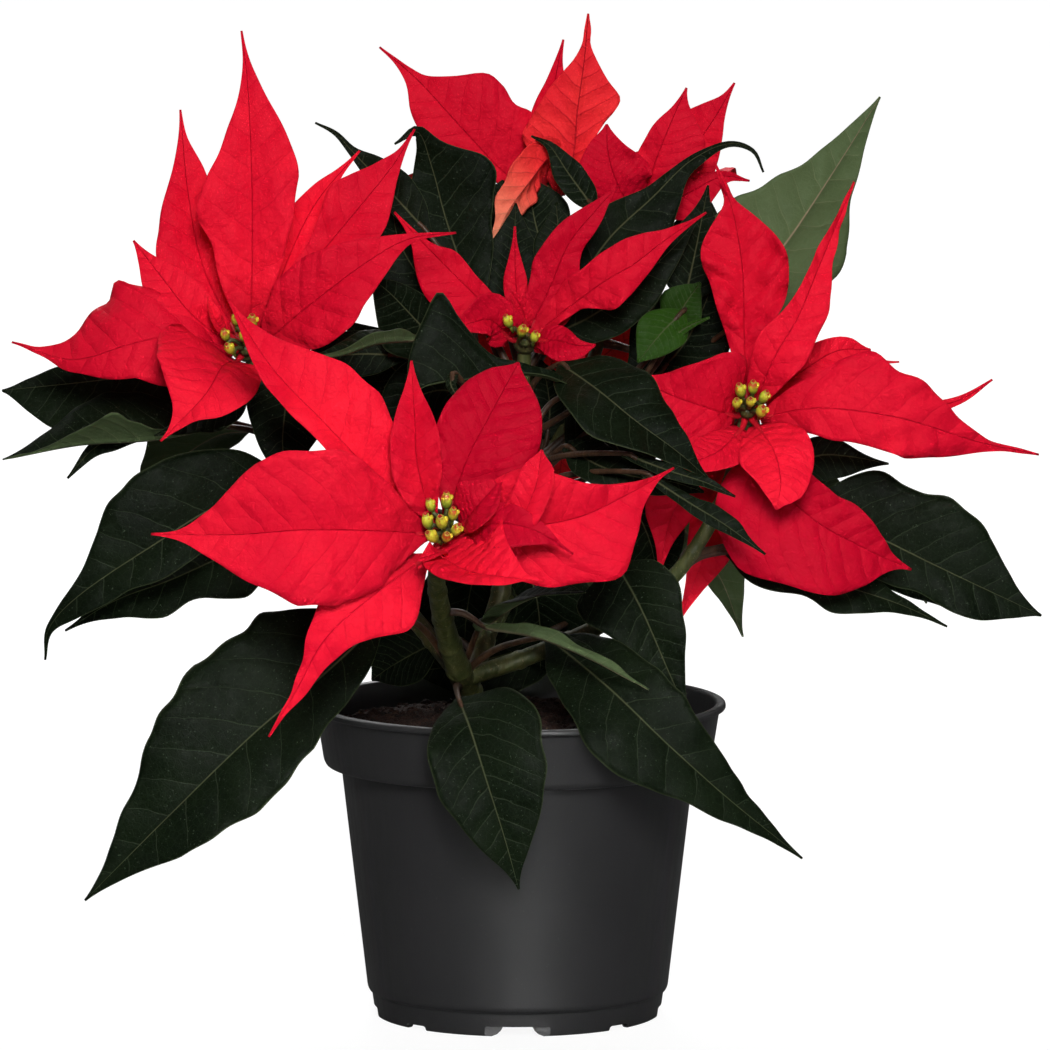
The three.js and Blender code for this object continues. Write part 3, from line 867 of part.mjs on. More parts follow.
/** The cyathia in the middle of a bloom, each on a short stalk from a cushion that sits on the hub. */
function cyathia({ hub, front, buds }) {
  const facing = new THREE.Vector3(...front).normalize();
  const cushion = new THREE.Vector3(...hub).addScaledVector(facing, HUB_RADIUS + CUSHION_RISE);
  const tilt = new THREE.Quaternion().setFromUnitVectors(new THREE.Vector3(0, 0, 1), facing);
  const turn = new THREE.Euler().setFromQuaternion(tilt, 'ZYX');
  const cushionRadii = [CUSHION_RADIUS, CUSHION_RADIUS, CUSHION_HALF_HEIGHT];
  const solids = [ball(cushion.toArray(), cushionRadii, turn.toArray())];
  const stalkRadii = [BUD_STALK_RADIUS, BUD_STALK_RADIUS];
  for (const bud of buds) {
    solids.push(stem({ path: [cushion.toArray(), bud], radii: stalkRadii, sides: 3, steps: 1 }));
    solids.push(ball(bud, [BUD_RADIUS, BUD_RADIUS, BUD_HALF_HEIGHT], [0, 0, 0], 4, 3));
  }
  return fuse(solids).subtract(hubRoom({ hub }));
}

/** Room for a hub with the gap round it. */
function hubRoom({ hub }) {
  const radius = HUB_RADIUS + GAP;
  return ball(hub, [radius, radius, radius]);
}

// ---- the plant in its pot -------------------------------------------------

const poinsettia = new THREE.Group();
const growth = new THREE.Group();
growth.position.x = PLANT_X;
poinsettia.add(growth);

function addPiece(parent, name, solid, color, roughness) {
  const finish = new THREE.MeshStandardMaterial({ color, roughness, metalness: 0 });
  const mesh = new THREE.Mesh(geometryOf(solid), finish);
  mesh.name = name;
  parent.add(mesh);
}

const hubRooms = BLOOMS.map(hubRoom);
const wide = (branch) => stem({ ...branch, radii: branch.radii.map((radius) => radius + GAP) });
const trunkRooms = [TRUNK, CENTRE_STEMS[0]].map(wide);

const sideRooms = [...hubRooms, ...trunkRooms];
const centreStem = leafyStem([TRUNK, ...CENTRE_STEMS], [...FRONT_LEAVES, ...CENTRE_LEAVES], hubRooms);
const leftStem = leafyStem(LEFT_STEMS, LEFT_LEAVES, sideRooms);
const rightStem = leafyStem(RIGHT_STEMS, RIGHT_LEAVES, sideRooms);

addPiece(poinsettia, 'pot', pot(), POT_GREY, 0.45);
addPiece(poinsettia, 'soil', soil(), PEAT_BROWN, 0.95);
addPiece(growth, 'stem_centre', centreStem, LEAF_GREEN, 0.5);
addPiece(growth, 'stem_left', leftStem, LEAF_GREEN, 0.5);
addPiece(growth, 'stem_right', rightStem, LEAF_GREEN, 0.5);
for (const bloom of BLOOMS) {
  addPiece(growth, `bracts_${bloom.name}`, bracts(bloom), BRACT_RED, 0.55);
  addPiece(growth, `cyathia_${bloom.name}`, cyathia(bloom), CYATHIUM_YELLOW, 0.6);
}

export default poinsettia;
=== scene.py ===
# Poinsettia (Euphorbia pulcherrima) in a 13 cm plastic nursery pot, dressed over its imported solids.
# Lists and sizes are in millimetres, as a grower would measure them; MM turns them into metres.
# +Z is up, the front of the plant is -Y, and the origin is on the ground, on the pot's axis.

import math

import bmesh
import bpy
import numpy as np
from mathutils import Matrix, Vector


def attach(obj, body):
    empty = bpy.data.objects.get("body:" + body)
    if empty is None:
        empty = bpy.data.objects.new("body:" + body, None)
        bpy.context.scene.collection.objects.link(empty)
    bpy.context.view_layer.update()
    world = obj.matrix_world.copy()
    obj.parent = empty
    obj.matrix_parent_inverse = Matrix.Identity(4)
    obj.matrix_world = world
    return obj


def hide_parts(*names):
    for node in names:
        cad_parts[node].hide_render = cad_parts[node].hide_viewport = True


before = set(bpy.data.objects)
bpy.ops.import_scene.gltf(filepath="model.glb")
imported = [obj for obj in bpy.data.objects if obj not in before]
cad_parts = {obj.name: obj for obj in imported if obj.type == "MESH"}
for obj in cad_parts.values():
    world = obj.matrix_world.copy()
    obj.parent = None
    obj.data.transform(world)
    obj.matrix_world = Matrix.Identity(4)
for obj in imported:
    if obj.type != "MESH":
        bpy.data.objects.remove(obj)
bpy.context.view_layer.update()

# ---- The pot ---------------------------------------------------------------------------------------------
# A nursery pot injection moulded in one piece from dark grey polypropylene, with a satin wall, a tall
# rim band under a thin lip, and a foot ring cut by four wide drain notches and four shallow ones.
# Four round holes drain its floor. It stands on its foot ring and holds the root ball by friction.

MM = 0.001
POT_HEIGHT = 101.7
LIP_RADIUS, LIP_DEPTH = 67.2, 2
RIM_HIGH_RADIUS, RIM_LOW_RADIUS, RIM_BOTTOM = 65.2, 62.6, 81.7
WALL_HIGH_RADIUS, WALL_LOW_RADIUS, WALL = 57.1, 48.6, 1.4
BASE_RADIUS, BASE_STEP, RING_WIDTH = 46.3, 8.8, 3
FLOOR_TOP, FLOOR_UNDER = 6, 4.2
POT_SEGMENTS = 192


def node(tree, kind, inputs=None, **settings):
    """A node with its settings, and a value or a link for each input that is named."""
    made = tree.nodes.new(kind)
    for key, value in settings.items():
        setattr(made, key, value)
    for key, value in (inputs or {}).items():
        if isinstance(value, bpy.types.NodeSocket):
            tree.links.new(value, made.inputs[key])
        else:
            made.inputs[key].default_value = value
    return made


def material(name, roughness=0.5, **settings):
    """A material with its Principled shader, whose plain settings are set on the shader's own sockets."""
    made = bpy.data.materials.new(name)
    made.use_nodes = True
    shader = made.node_tree.nodes["Principled BSDF"]
    shader.inputs["Roughness"].default_value = roughness
    for key, value in settings.items():
        shader.inputs[key.replace("_", " ")].default_value = value
    return made, made.node_tree, shader


def maths(tree, operation, a, b=0.0, c=0.0):
    """The result of one step of arithmetic on sockets or numbers."""
    return node(tree, "ShaderNodeMath", {0: a, 1: b, 2: c}, operation=operation).outputs[0]


def times(tree, a, b):
    """The product of two sockets or numbers."""
    return maths(tree, "MULTIPLY", a, b)


def mixed(tree, share, a, b):
    """Colour a going over into colour b."""
    made = node(tree, "ShaderNodeMix", {"Factor": share}, data_type="RGBA")
    for key, value in ((6, a), (7, b)):
        if isinstance(value, bpy.types.NodeSocket):
            tree.links.new(value, made.inputs[key])
        else:
            made.inputs[key].default_value = (*value, 1)
    return made.outputs[2]


def graded(tree, value, low, high, to_low=0.0, to_high=1.0):
    """A value carried smoothly from one range to another."""
    return node(tree, "ShaderNodeMapRange", {"Value": value, "From Min": low, "From Max": high,
        "To Min": to_low, "To Max": to_high}, interpolation_type="SMOOTHSTEP").outputs[0]


def noise(tree, place, scale, detail=3.0, roughness=0.55):
    """Cloudy noise from about 0 to 1 at a place, with scale in lumps per unit of place."""
    return node(tree, "ShaderNodeTexNoise", {"Vector": place, "Scale": scale, "Detail": detail,
        "Roughness": roughness}).outputs["Fac"]


def relief(tree, height, depth):
    """The normal of a surface raised by height times depth, in metres."""
    return node(tree, "ShaderNodeBump", {"Height": height, "Distance": depth}).outputs["Normal"]


def mesh_piece(name, points, faces, finish, edges=(), smooth=True):
    """A piece at the origin, from points in millimetres."""
    mesh = bpy.data.meshes.new(name)
    mesh.from_pydata((np.asarray(points, float) * MM).tolist(), list(edges), faces)
    mesh.materials.append(finish)
    if smooth:
        mesh.shade_smooth()
    piece = bpy.data.objects.new(name, mesh)
    bpy.context.scene.collection.objects.link(piece)
    return piece


def settled(piece):
    """Makes the result of a piece's modifiers its plain mesh."""
    evaluated = piece.evaluated_get(bpy.context.evaluated_depsgraph_get())
    mesh = bpy.data.meshes.new_from_object(evaluated)
    piece.modifiers.clear()
    piece.data = mesh


def face_outward(piece):
    """Turns every face of a closed piece outward."""
    work = bmesh.new()
    work.from_mesh(piece.data)
    bmesh.ops.remove_doubles(work, verts=work.verts, dist=1e-6)
    bmesh.ops.recalc_face_normals(work, faces=work.faces)
    work.to_mesh(piece.data)
    work.free()


def fit(piece, solid):
    """Seats a finished piece on the one body, in place of the solid that it stands for."""
    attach(piece, "root")
    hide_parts(solid)


def rounded(profile, radius):
    """A profile of (radius, height) pairs with each corner eased by an arc of about that radius."""
    eased = [profile[0]]
    for before, corner, after in zip(profile, profile[1:], profile[2:]):
        before, corner, after = (np.array(p, float) for p in (before, corner, after))
        ends = []
        for other in (before, after):
            reach = np.linalg.norm(other - corner)
            ends.append(corner + (other - corner) * min(radius / reach, 0.4))
        for t in (0, 0.25, 0.5, 0.75, 1):
            eased.append(tuple((1 - t) ** 2 * ends[0] + 2 * t * (1 - t) * corner + t ** 2 * ends[1]))
    return [*eased, profile[-1]]


def turned(profile, segments):
    """Points and faces of a profile turned round the pot's axis, closed where it meets the axis."""
    points, faces, rings = [], [], []
    for radius, height in profile:
        count = segments if radius > 1e-6 else 1
        rings.append([len(points) + k for k in range(count)])
        for k in range(count):
            turn = 2 * math.pi * k / count
            points.append((radius * math.cos(turn), radius * math.sin(turn), height))
    for low, high in zip(rings, rings[1:]):
        for k in range(segments):
            corners = [low[k % len(low)], low[(k + 1) % len(low)], high[(k + 1) % len(high)],
                high[k % len(high)]]
            faces.append(list(dict.fromkeys(corners)))
    return points, faces


def wall_radius(z):
    """Radius of the pot's outer wall at a height between its foot and its rim band."""
    share = (z - BASE_STEP) / (RIM_BOTTOM - BASE_STEP)
    return WALL_LOW_RADIUS + (WALL_HIGH_RADIUS - WALL_LOW_RADIUS) * share


pot_plastic, tree, shader = material("pot plastic", roughness=0.4, Specular_IOR_Level=0.5)
place = node(tree, "ShaderNodeTexCoord").outputs["Object"]
cloud = noise(tree, place, 38)
drawn = node(tree, "ShaderNodeMapping", {"Vector": place, "Scale": (1, 1, 0.12)}).outputs[0]
streak = noise(tree, drawn, 420, 2)
grain = noise(tree, place, 1900, 2)
dust = graded(tree, noise(tree, place, 900, 4, 0.7), 0.66, 0.74)
plastic = mixed(tree, graded(tree, cloud, 0.3, 0.7), (0.0095, 0.0095, 0.0100), (0.0125, 0.0125, 0.0130))
plastic = mixed(tree, times(tree, streak, 0.25), plastic, (0.022, 0.022, 0.0225))
plastic = mixed(tree, times(tree, dust, 0.25), plastic, (0.12, 0.115, 0.11))
tree.links.new(plastic, shader.inputs["Base Color"])
tree.links.new(graded(tree, streak, 0.2, 0.8, 0.42, 0.50), shader.inputs["Roughness"])
ripple = maths(tree, "ADD", times(tree, streak, 0.5), grain)
tree.links.new(relief(tree, ripple, 0.00004), shader.inputs["Normal"])

wall_foot = wall_radius(FLOOR_TOP) - WALL
wall_head = wall_radius(RIM_BOTTOM) - WALL
pot_profile = [
    (0, FLOOR_UNDER), (BASE_RADIUS - RING_WIDTH, FLOOR_UNDER), (BASE_RADIUS - RING_WIDTH, 0),
    (BASE_RADIUS - 0.2, 0), (BASE_RADIUS + 0.9, BASE_STEP - 1.2), (WALL_LOW_RADIUS - 0.5, BASE_STEP - 0.6),
    (WALL_LOW_RADIUS, BASE_STEP + 0.6), (WALL_HIGH_RADIUS, RIM_BOTTOM + 0.6),
    (RIM_LOW_RADIUS - 0.9, RIM_BOTTOM - 0.1), (RIM_LOW_RADIUS, RIM_BOTTOM + 1.6),
    (RIM_HIGH_RADIUS, POT_HEIGHT - LIP_DEPTH), (LIP_RADIUS, POT_HEIGHT - LIP_DEPTH),
    (LIP_RADIUS - 0.2, POT_HEIGHT), (RIM_HIGH_RADIUS - WALL, POT_HEIGHT),
    (RIM_LOW_RADIUS - WALL, RIM_BOTTOM + WALL), (wall_head, RIM_BOTTOM + WALL), (wall_foot, FLOOR_TOP),
    (0, FLOOR_TOP),
]
pot_points, pot_faces = turned(rounded(pot_profile, 0.9), POT_SEGMENTS)
pot = mesh_piece("nursery_pot", pot_points, pot_faces, pot_plastic)
face_outward(pot)

# The cutters: a wide notch in the ring's outer half, a narrower one with eased feet right through it,
# a shallow notch between each two, and the drain holes in the floor.
OUTER_NOTCH = [(-10.5, -1), (-10.5, 2.9), (-10, 3.3), (10, 3.3), (10.5, 2.9), (10.5, -1)]
INNER_NOTCH = [(-8.6, -1), (-8.2, 0.1), (-6.6, 0.7), (-5.4, 1.8), (-4.6, 3.3),
    (4.6, 3.3), (5.4, 1.8), (6.6, 0.7), (8.2, 0.1), (8.6, -1)]
SMALL_NOTCH = [(-4.6, -1), (-4.2, 1.2), (-3.6, 1.6), (3.6, 1.6), (4.2, 1.2), (4.6, -1)]
HOLE_RADIUS, HOLE_PLACE, HOLE_SIDES = 4, 30, 32
NOTCH_IN, NOTCH_OUT = BASE_RADIUS - RING_WIDTH - 2, BASE_RADIUS + 4  # well clear of the ring on both sides
NOTCH_STEP = BASE_RADIUS - RING_WIDTH / 2
cut_points, cut_faces = [], []


def add_cutter(outline, near, far, turn, upright=False):
    """A prism on an outline, turned round the pot; it reaches from near to far, sideways or upright."""
    start, count = len(cut_points), len(outline)
    for reach in (near, far):
        for a, b in outline:
            x, y, z = (a, b - HOLE_PLACE, reach) if upright else (a, -reach, b)
            cut_points.append((x * math.cos(turn) - y * math.sin(turn),
                x * math.sin(turn) + y * math.cos(turn), z))
    cut_faces.append([start + k for k in range(count)])
    cut_faces.append([start + count + k for k in reversed(range(count))])
    for k in range(count):
        after = (k + 1) % count
        cut_faces.append([start + k, start + count + k, start + count + after, start + after])


drain_turns = [math.tau * k / HOLE_SIDES for k in range(HOLE_SIDES)]
drain = [(HOLE_RADIUS * math.cos(turn), HOLE_RADIUS * math.sin(turn)) for turn in drain_turns]
for quarter in range(4):
    turn = quarter * math.pi / 2
    add_cutter(OUTER_NOTCH, NOTCH_STEP, NOTCH_OUT, turn)
    add_cutter(INNER_NOTCH, NOTCH_IN, NOTCH_STEP + 0.01, turn)
    add_cutter(SMALL_NOTCH, NOTCH_IN, NOTCH_OUT, turn + math.pi / 4)
    add_cutter(drain, FLOOR_UNDER - 2, FLOOR_TOP + 2, turn + math.pi / 4, upright=True)
cutter = mesh_piece("pot_cutter", cut_points, cut_faces, pot_plastic, smooth=False)
face_outward(cutter)
cut = pot.modifiers.new("notches", "BOOLEAN")
cut.operation, cut.solver, cut.object = "DIFFERENCE", "EXACT", cutter
cut.use_self = True
settled(pot)
bpy.data.objects.remove(cutter)
pot.data.shade_smooth()
pot.data.set_sharp_from_angle(angle=math.radians(38))
fit(pot, "pot")

# ---- The peat --------------------------------------------------------------------------------------------
# The root ball: dark red-brown peat with coarse crumbs and fibres, heaped a little round the trunk,
# a few grains of white perlite and one pale pebble. It fills the pot to just under the rim.

SOIL_EDGE, SOIL_MIDDLE = 93, 97.5
GAP = 0.3  # between the peat and the pot
PEAT_RADIUS = RIM_LOW_RADIUS - WALL - GAP
MOUND_RADIUS = 62
TOP_RINGS, PEAT_SEGMENTS = 46, 128


def peat_height(x, y):
    """Height of the peat at a place: mounded in the middle, uneven all over."""
    radius = np.hypot(x, y)
    mound = SOIL_EDGE + (SOIL_MIDDLE - SOIL_EDGE) * (1 - (radius / MOUND_RADIUS) ** 2)
    swell = 0.7 * np.sin(0.31 * x + 1) * np.cos(0.27 * y) + 0.4 * np.sin(0.62 * y + 0.2 * x)
    return mound + swell


peat, tree, shader = material("peat", roughness=0.92, Specular_IOR_Level=0.25)
place = node(tree, "ShaderNodeTexCoord").outputs["Object"]
clods = noise(tree, place, 160, 4)
crumb = noise(tree, place, 900, 4, 0.7)
fibre = node(tree, "ShaderNodeTexVoronoi", {"Vector": place, "Scale": 700.0}, feature="F1")
brown = mixed(tree, graded(tree, clods, 0.3, 0.7), (0.010, 0.0055, 0.0042), (0.042, 0.021, 0.015))
brown = mixed(tree, graded(tree, crumb, 0.55, 0.8, 0, 0.8), brown, (0.11, 0.056, 0.036))
brown = mixed(tree, graded(tree, fibre.outputs["Color"], 0.86, 1.0, 0, 0.6), brown, (0.21, 0.13, 0.08))
tree.links.new(brown, shader.inputs["Base Color"])
tree.links.new(relief(tree, crumb, 0.0012), shader.inputs["Normal"])

ball_rings = [
    (0, FLOOR_TOP + GAP), (wall_foot - 0.4, FLOOR_TOP + GAP), (wall_head - 0.4, RIM_BOTTOM + WALL + GAP),
    (PEAT_RADIUS, RIM_BOTTOM + WALL + GAP), (PEAT_RADIUS, SOIL_EDGE - 0.6),
]
top_rings = [(PEAT_RADIUS * (1 - k / TOP_RINGS), 0) for k in range(1, TOP_RINGS + 1)]
soil_points, soil_faces = turned([*ball_rings, *top_rings], PEAT_SEGMENTS)
soil_points = np.array(soil_points, float)
top = soil_points[len(turned(ball_rings, PEAT_SEGMENTS)[0]):]
unevenness = np.random.default_rng(12).normal(0, 0.35, len(top))
top[:, 2] = peat_height(top[:, 0], top[:, 1]) + unevenness
root_ball = mesh_piece("peat_root_ball", soil_points, soil_faces, peat)
face_outward(root_ball)
fit(root_ball, "soil")


def geometry_tree(name, **inputs):
    """A Geometry Nodes tree with a mesh, a finish and these inputs, and the sockets that bring them."""
    tree = bpy.data.node_groups.new(name, "GeometryNodeTree")
    tree.is_modifier = True
    for key, kind in {"Geometry": "Geometry", **inputs, "Finish": "Material"}.items():
        tree.interface.new_socket(key.replace("_", " "), in_out="INPUT", socket_type=f"NodeSocket{kind}")
    tree.interface.new_socket("Geometry", in_out="OUTPUT", socket_type="NodeSocketGeometry")
    return tree, node(tree, "NodeGroupInput").outputs


def end_tree(tree, geometry, finish, smooth=True):
    """Ends a Geometry Nodes tree with one plain mesh in its finish."""
    plain = node(tree, "GeometryNodeRealizeInstances", {"Geometry": geometry}).outputs[0]
    if smooth:
        plain = node(tree, "GeometryNodeSetShadeSmooth", {"Geometry": plain}).outputs[0]
    done = node(tree, "GeometryNodeSetMaterial", {"Geometry": plain, "Material": finish}).outputs[0]
    node(tree, "NodeGroupOutput", {"Geometry": done})


crumbs, given = geometry_tree("peat crumbs", Per_square_metre="Float", Smallest="Float", Largest="Float",
    Seed="Int")
strewn = node(crumbs, "GeometryNodeDistributePointsOnFaces", {"Mesh": given["Geometry"],
    "Density": given["Per square metre"], "Seed": given["Seed"]})
grain = node(crumbs, "GeometryNodeMeshIcoSphere", {"Radius": 1.0, "Subdivisions": 1})
turn = node(crumbs, "FunctionNodeRandomValue", {0: (0, 0, 0), 1: (6.3, 6.3, 6.3), "Seed": 3},
    data_type="FLOAT_VECTOR")
shape = node(crumbs, "FunctionNodeRandomValue", {0: (0.6, 0.5, 0.35), 1: (1.0, 1.0, 0.75), "Seed": 4},
    data_type="FLOAT_VECTOR")
size = node(crumbs, "FunctionNodeRandomValue", {2: given["Smallest"], 3: given["Largest"], "Seed": 5},
    data_type="FLOAT")
sized = node(crumbs, "ShaderNodeVectorMath", {0: shape.outputs[0], "Scale": size.outputs[1]},
    operation="SCALE")
placed = node(crumbs, "GeometryNodeInstanceOnPoints", {"Points": strewn.outputs["Points"],
    "Instance": grain.outputs["Mesh"], "Rotation": turn.outputs[0], "Scale": sized.outputs[0]})
end_tree(crumbs, placed.outputs[0], given["Finish"], smooth=False)


def grown(piece, tree, **values):
    """Runs a Geometry Nodes tree with these inputs on a piece, and makes the result its plain mesh."""
    modifier = piece.modifiers.new(tree.name, "NODES")
    modifier.node_group = tree
    for item in tree.interface.items_tree:
        key = item.name.replace(" ", "_")
        if item.item_type == "SOCKET" and item.in_out == "INPUT" and key in values:
            modifier[item.identifier] = values[key]
    settled(piece)


RIM_CLEARANCE, STREWN_STEP, STREWN_RINGS, STREWN_SEGMENTS = 1.5, 3.6, 16, 96


def strewn_grains(name, finish, per_square_metre, smallest, largest, seed):
    """Grains strewn over the peat's top, clear of the rim and the trunk; their sizes are in metres."""
    rings = [(PEAT_RADIUS - RIM_CLEARANCE - k * STREWN_STEP, 0) for k in range(STREWN_RINGS)]
    points, faces = turned(rings, STREWN_SEGMENTS)
    points = np.array(points, float)
    points[:, 2] = peat_height(points[:, 0], points[:, 1])
    piece = mesh_piece(name, points, faces, finish, smooth=False)
    grown(piece, crumbs, Per_square_metre=per_square_metre, Smallest=smallest, Largest=largest, Seed=seed,
        Finish=finish)
    fit(piece, "soil")


strewn_grains("peat_crumbs", peat, per_square_metre=260000.0, smallest=0.0004, largest=0.0014, seed=21)
strewn_grains("peat_clods", peat, per_square_metre=15000.0, smallest=0.0012, largest=0.0026, seed=22)

perlite, tree, shader = material("perlite and grit", roughness=0.85)
place = node(tree, "ShaderNodeTexCoord").outputs["Object"]
grit = mixed(tree, noise(tree, place, 500), (0.10, 0.075, 0.05), (0.32, 0.26, 0.20))
tree.links.new(grit, shader.inputs["Base Color"])
tree.links.new(relief(tree, noise(tree, place, 1500), 0.0004), shader.inputs["Normal"])
strewn_grains("perlite_grains", perlite, per_square_metre=1800.0, smallest=0.0005, largest=0.0011, seed=23)

PEBBLE_PLACE, PEBBLE_RADII = (-4.5, -17, 97.6), (4.6, 3.4, 2.3)
PEBBLE_SEGMENTS, PEBBLE_RINGS = 28, 14
around, downward = np.meshgrid(np.linspace(0, math.tau, PEBBLE_SEGMENTS + 1)[:-1],
    np.linspace(0, math.pi, PEBBLE_RINGS + 1))
lumps = 1 + 0.06 * np.sin(3 * around + 1) * np.sin(downward) + 0.04 * np.cos(5 * downward)
directions = (np.sin(downward) * np.cos(around), np.sin(downward) * np.sin(around), np.cos(downward))
pebble_points = np.stack([middle + radius * lumps * direction
    for middle, radius, direction in zip(PEBBLE_PLACE, PEBBLE_RADII, directions)], -1)
pebble_faces = []
for row in range(PEBBLE_RINGS):
    for k in range(PEBBLE_SEGMENTS):
        high, after = row * PEBBLE_SEGMENTS, (k + 1) % PEBBLE_SEGMENTS
        low = high + PEBBLE_SEGMENTS
        pebble_faces.append([high + k, high + after, low + after, low + k])
pebble = mesh_piece("pebble", pebble_points.reshape(-1, 3), pebble_faces, perlite)
face_outward(pebble)
fit(pebble, "soil")

# ---- The stems -------------------------------------------------------------------------------------------
# One woody trunk comes up through the peat and forks low into the stems that carry the blooms. They are
# green-brown, ringed by the scars of old leaves, and thin toward the top. Each leaf stands on a round
# stalk, dark red above, that leaves its stem at a scar.

PLANT_X = 1.4  # the plant is drawn round an axis this far right of the pot's
TRUNK = dict(path=[(-15, 2, 73), (-15, 2, 86), (-15, 2, 98), (-18, -8, 108), (-21, -22, 117),
    (-25, -45, 134), (-27, -66, 151), (-24.5, -82, 164)], radii=[4.3, 4.3, 4.2, 3.9, 3.5, 3.1, 2.7, 2.3])
CENTRE_STEMS = [
    TRUNK,
    dict(path=[(-18, -6, 107), (-13, 4, 118), (-6, 8, 140), (-1, 7, 175), (0, 4, 200), (1, 1, 217)],
        radii=[3.3, 3, 2.6, 2.2]),
    dict(path=[(-4, 8, 148), (1, 22, 178), (5, 40, 218), (8, 54, 248), (9, 59, 259)],
        radii=[2.4, 2.2, 2]),
    dict(path=[(-8, 7, 128), (-4, 30, 132), (2, 52, 146), (7, 80, 168), (10, 101, 189)],
        radii=[2.6, 2.4, 2.2, 2]),
    dict(path=[(0, 8, 166), (15, 25, 190), (28, 40, 222), (37, 50, 248), (39.8, 53.5, 255.5)],
        radii=[2.2, 2, 1.8]),
]
LEFT_STEMS = [
    dict(path=[(-19, -8, 110), (-28, 2, 120), (-40, 2, 135), (-56, 1, 158), (-70, -2, 180), (-80, -6, 198),
        (-87.6, -13, 216)], radii=[3, 2.8, 2.5, 2.2, 2]),
]
RIGHT_STEMS = [
    dict(path=[(-18, -12, 111), (2, -6, 117), (25, -6, 127), (46, -10, 141), (58, -13, 157),
        (66, -14, 174), (71.6, -15.6, 196)], radii=[3, 2.8, 2.6, 2.4, 2.2, 2]),
]


def read_along(values, t):
    """Values spread evenly over 0 to 1, read at t by a smooth curve through them."""
    values = np.asarray(values, float)
    place = np.clip(t, 0, 1) * (len(values) - 1)
    k = np.minimum(place.astype(int), len(values) - 2)
    f = place - k
    slope_in = (values[k + 1] - values[np.maximum(k - 1, 0)]) / 2
    slope_out = (values[np.minimum(k + 2, len(values) - 1)] - values[k]) / 2
    rise = values[k + 1] - values[k]
    bend = slope_in + slope_out - 2 * rise
    return values[k] + f * (slope_in + f * (3 * rise - 2 * slope_in - slope_out + f * bend))


FINE_STEPS = 60  # of a line, for each of its points, while its length is measured


def line_through(points, count):
    """Evenly spaced places on a smooth line through points, the way it runs at each, and its length."""
    points = np.asarray(points, float)
    ends = np.vstack([2 * points[0] - points[1], points, 2 * points[-1] - points[-2]])
    t = np.linspace(0, len(points) - 1, FINE_STEPS * len(points))
    k = np.minimum(t.astype(int), len(points) - 2)
    f = (t - k)[:, None]
    a, b, c, d = ends[k], ends[k + 1], ends[k + 2], ends[k + 3]
    line = b + 0.5 * f * (c - a + f * (2 * a - 5 * b + 4 * c - d + f * (3 * b - a - 3 * c + d)))
    run = np.concatenate([[0], np.cumsum(np.linalg.norm(np.diff(line, axis=0), axis=1))])
    spread = np.linspace(0, run[-1], count)
    places = np.column_stack([np.interp(spread, run, line[:, i]) for i in range(3)])
    ahead = np.gradient(places, axis=0)
    return places, ahead / np.linalg.norm(ahead, axis=1)[:, None], run[-1]


stalks, given = geometry_tree("round stalks", Sides="Int")
line = node(stalks, "GeometryNodeMeshToCurve", {"Mesh": given["Geometry"]})
thick = node(stalks, "GeometryNodeInputNamedAttribute", {"Name": "thick"}, data_type="FLOAT")
section = node(stalks, "GeometryNodeCurvePrimitiveCircle", {"Resolution": given["Sides"], "Radius": 1.0})
tube = node(stalks, "GeometryNodeCurveToMesh", {"Curve": line.outputs[0],
    "Profile Curve": section.outputs[0], "Scale": thick.outputs[0], "Fill Caps": True})
end_tree(stalks, tube.outputs[0], given["Finish"])


def stalk_piece(name, lines, finish, solid, sides):
    """Round stalks on lines of (places, radii, red); red goes into the attribute blush, from 0 to 2."""
    points, edges, thickness, blush = [], [], [], []
    for places, radii, red in lines:
        edges += [(len(points) + k, len(points) + k + 1) for k in range(len(places) - 1)]
        points += (np.asarray(places) + (PLANT_X, 0, 0)).tolist()
        thickness += (np.asarray(radii) * MM).tolist()
        blush += np.broadcast_to(red, len(places)).tolist()
    piece = mesh_piece(name, points, [], finish, edges=edges)
    for key, values in (("thick", thickness), ("blush", blush)):
        piece.data.attributes.new(key, "FLOAT", "POINT").data.foreach_set("value", values)
    grown(piece, stalks, Sides=sides, Finish=finish)
    fit(piece, solid)


stem_skin, tree, shader = material("stem skin", roughness=0.5, Specular_IOR_Level=0.35)
place = node(tree, "ShaderNodeTexCoord").outputs["Object"]
blush = node(tree, "ShaderNodeAttribute", attribute_name="blush").outputs["Fac"]
lenticels = graded(tree, noise(tree, place, 1100, 2), 0.63, 0.7)
drawn = node(tree, "ShaderNodeMapping", {"Vector": place, "Scale": (1, 1, 0.3)}).outputs[0]
bark = noise(tree, drawn, 420)
green = mixed(tree, graded(tree, bark, 0.35, 0.7), (0.034, 0.044, 0.010), (0.078, 0.082, 0.026))
green = mixed(tree, times(tree, lenticels, 0.6), green, (0.24, 0.20, 0.10))
red = mixed(tree, graded(tree, bark, 0.3, 0.7), (0.030, 0.006, 0.006), (0.060, 0.014, 0.011))
skin = mixed(tree, blush, green, red)
skin = mixed(tree, graded(tree, blush, 1, 2), skin, (0.48, 0.003, 0.014))
tree.links.new(skin, shader.inputs["Base Color"])
tree.links.new(relief(tree, bark, 0.0005), shader.inputs["Normal"])

STEM_STEP = 1.2  # between one place of a stem's line and the next
SCAR_SPACING = 17  # between one leaf scar and the next, along a stem


def stem_line(path, radii):
    """A stem's places and radii, swollen a little at each leaf scar and pinched beside it."""
    length = line_through(path, 2)[2]
    places, _, _ = line_through(path, int(length / STEM_STEP))
    t = np.linspace(0, 1, len(places))
    scar = np.abs((t * length / SCAR_SPACING + 0.4) % 1 - 0.5) * SCAR_SPACING
    swollen = 1 + 0.13 * np.exp(-(scar / 1.3) ** 2) - 0.05 * np.exp(-((scar - 2) / 0.6) ** 2)
    return places, read_along(radii, t) * swollen, 0.0


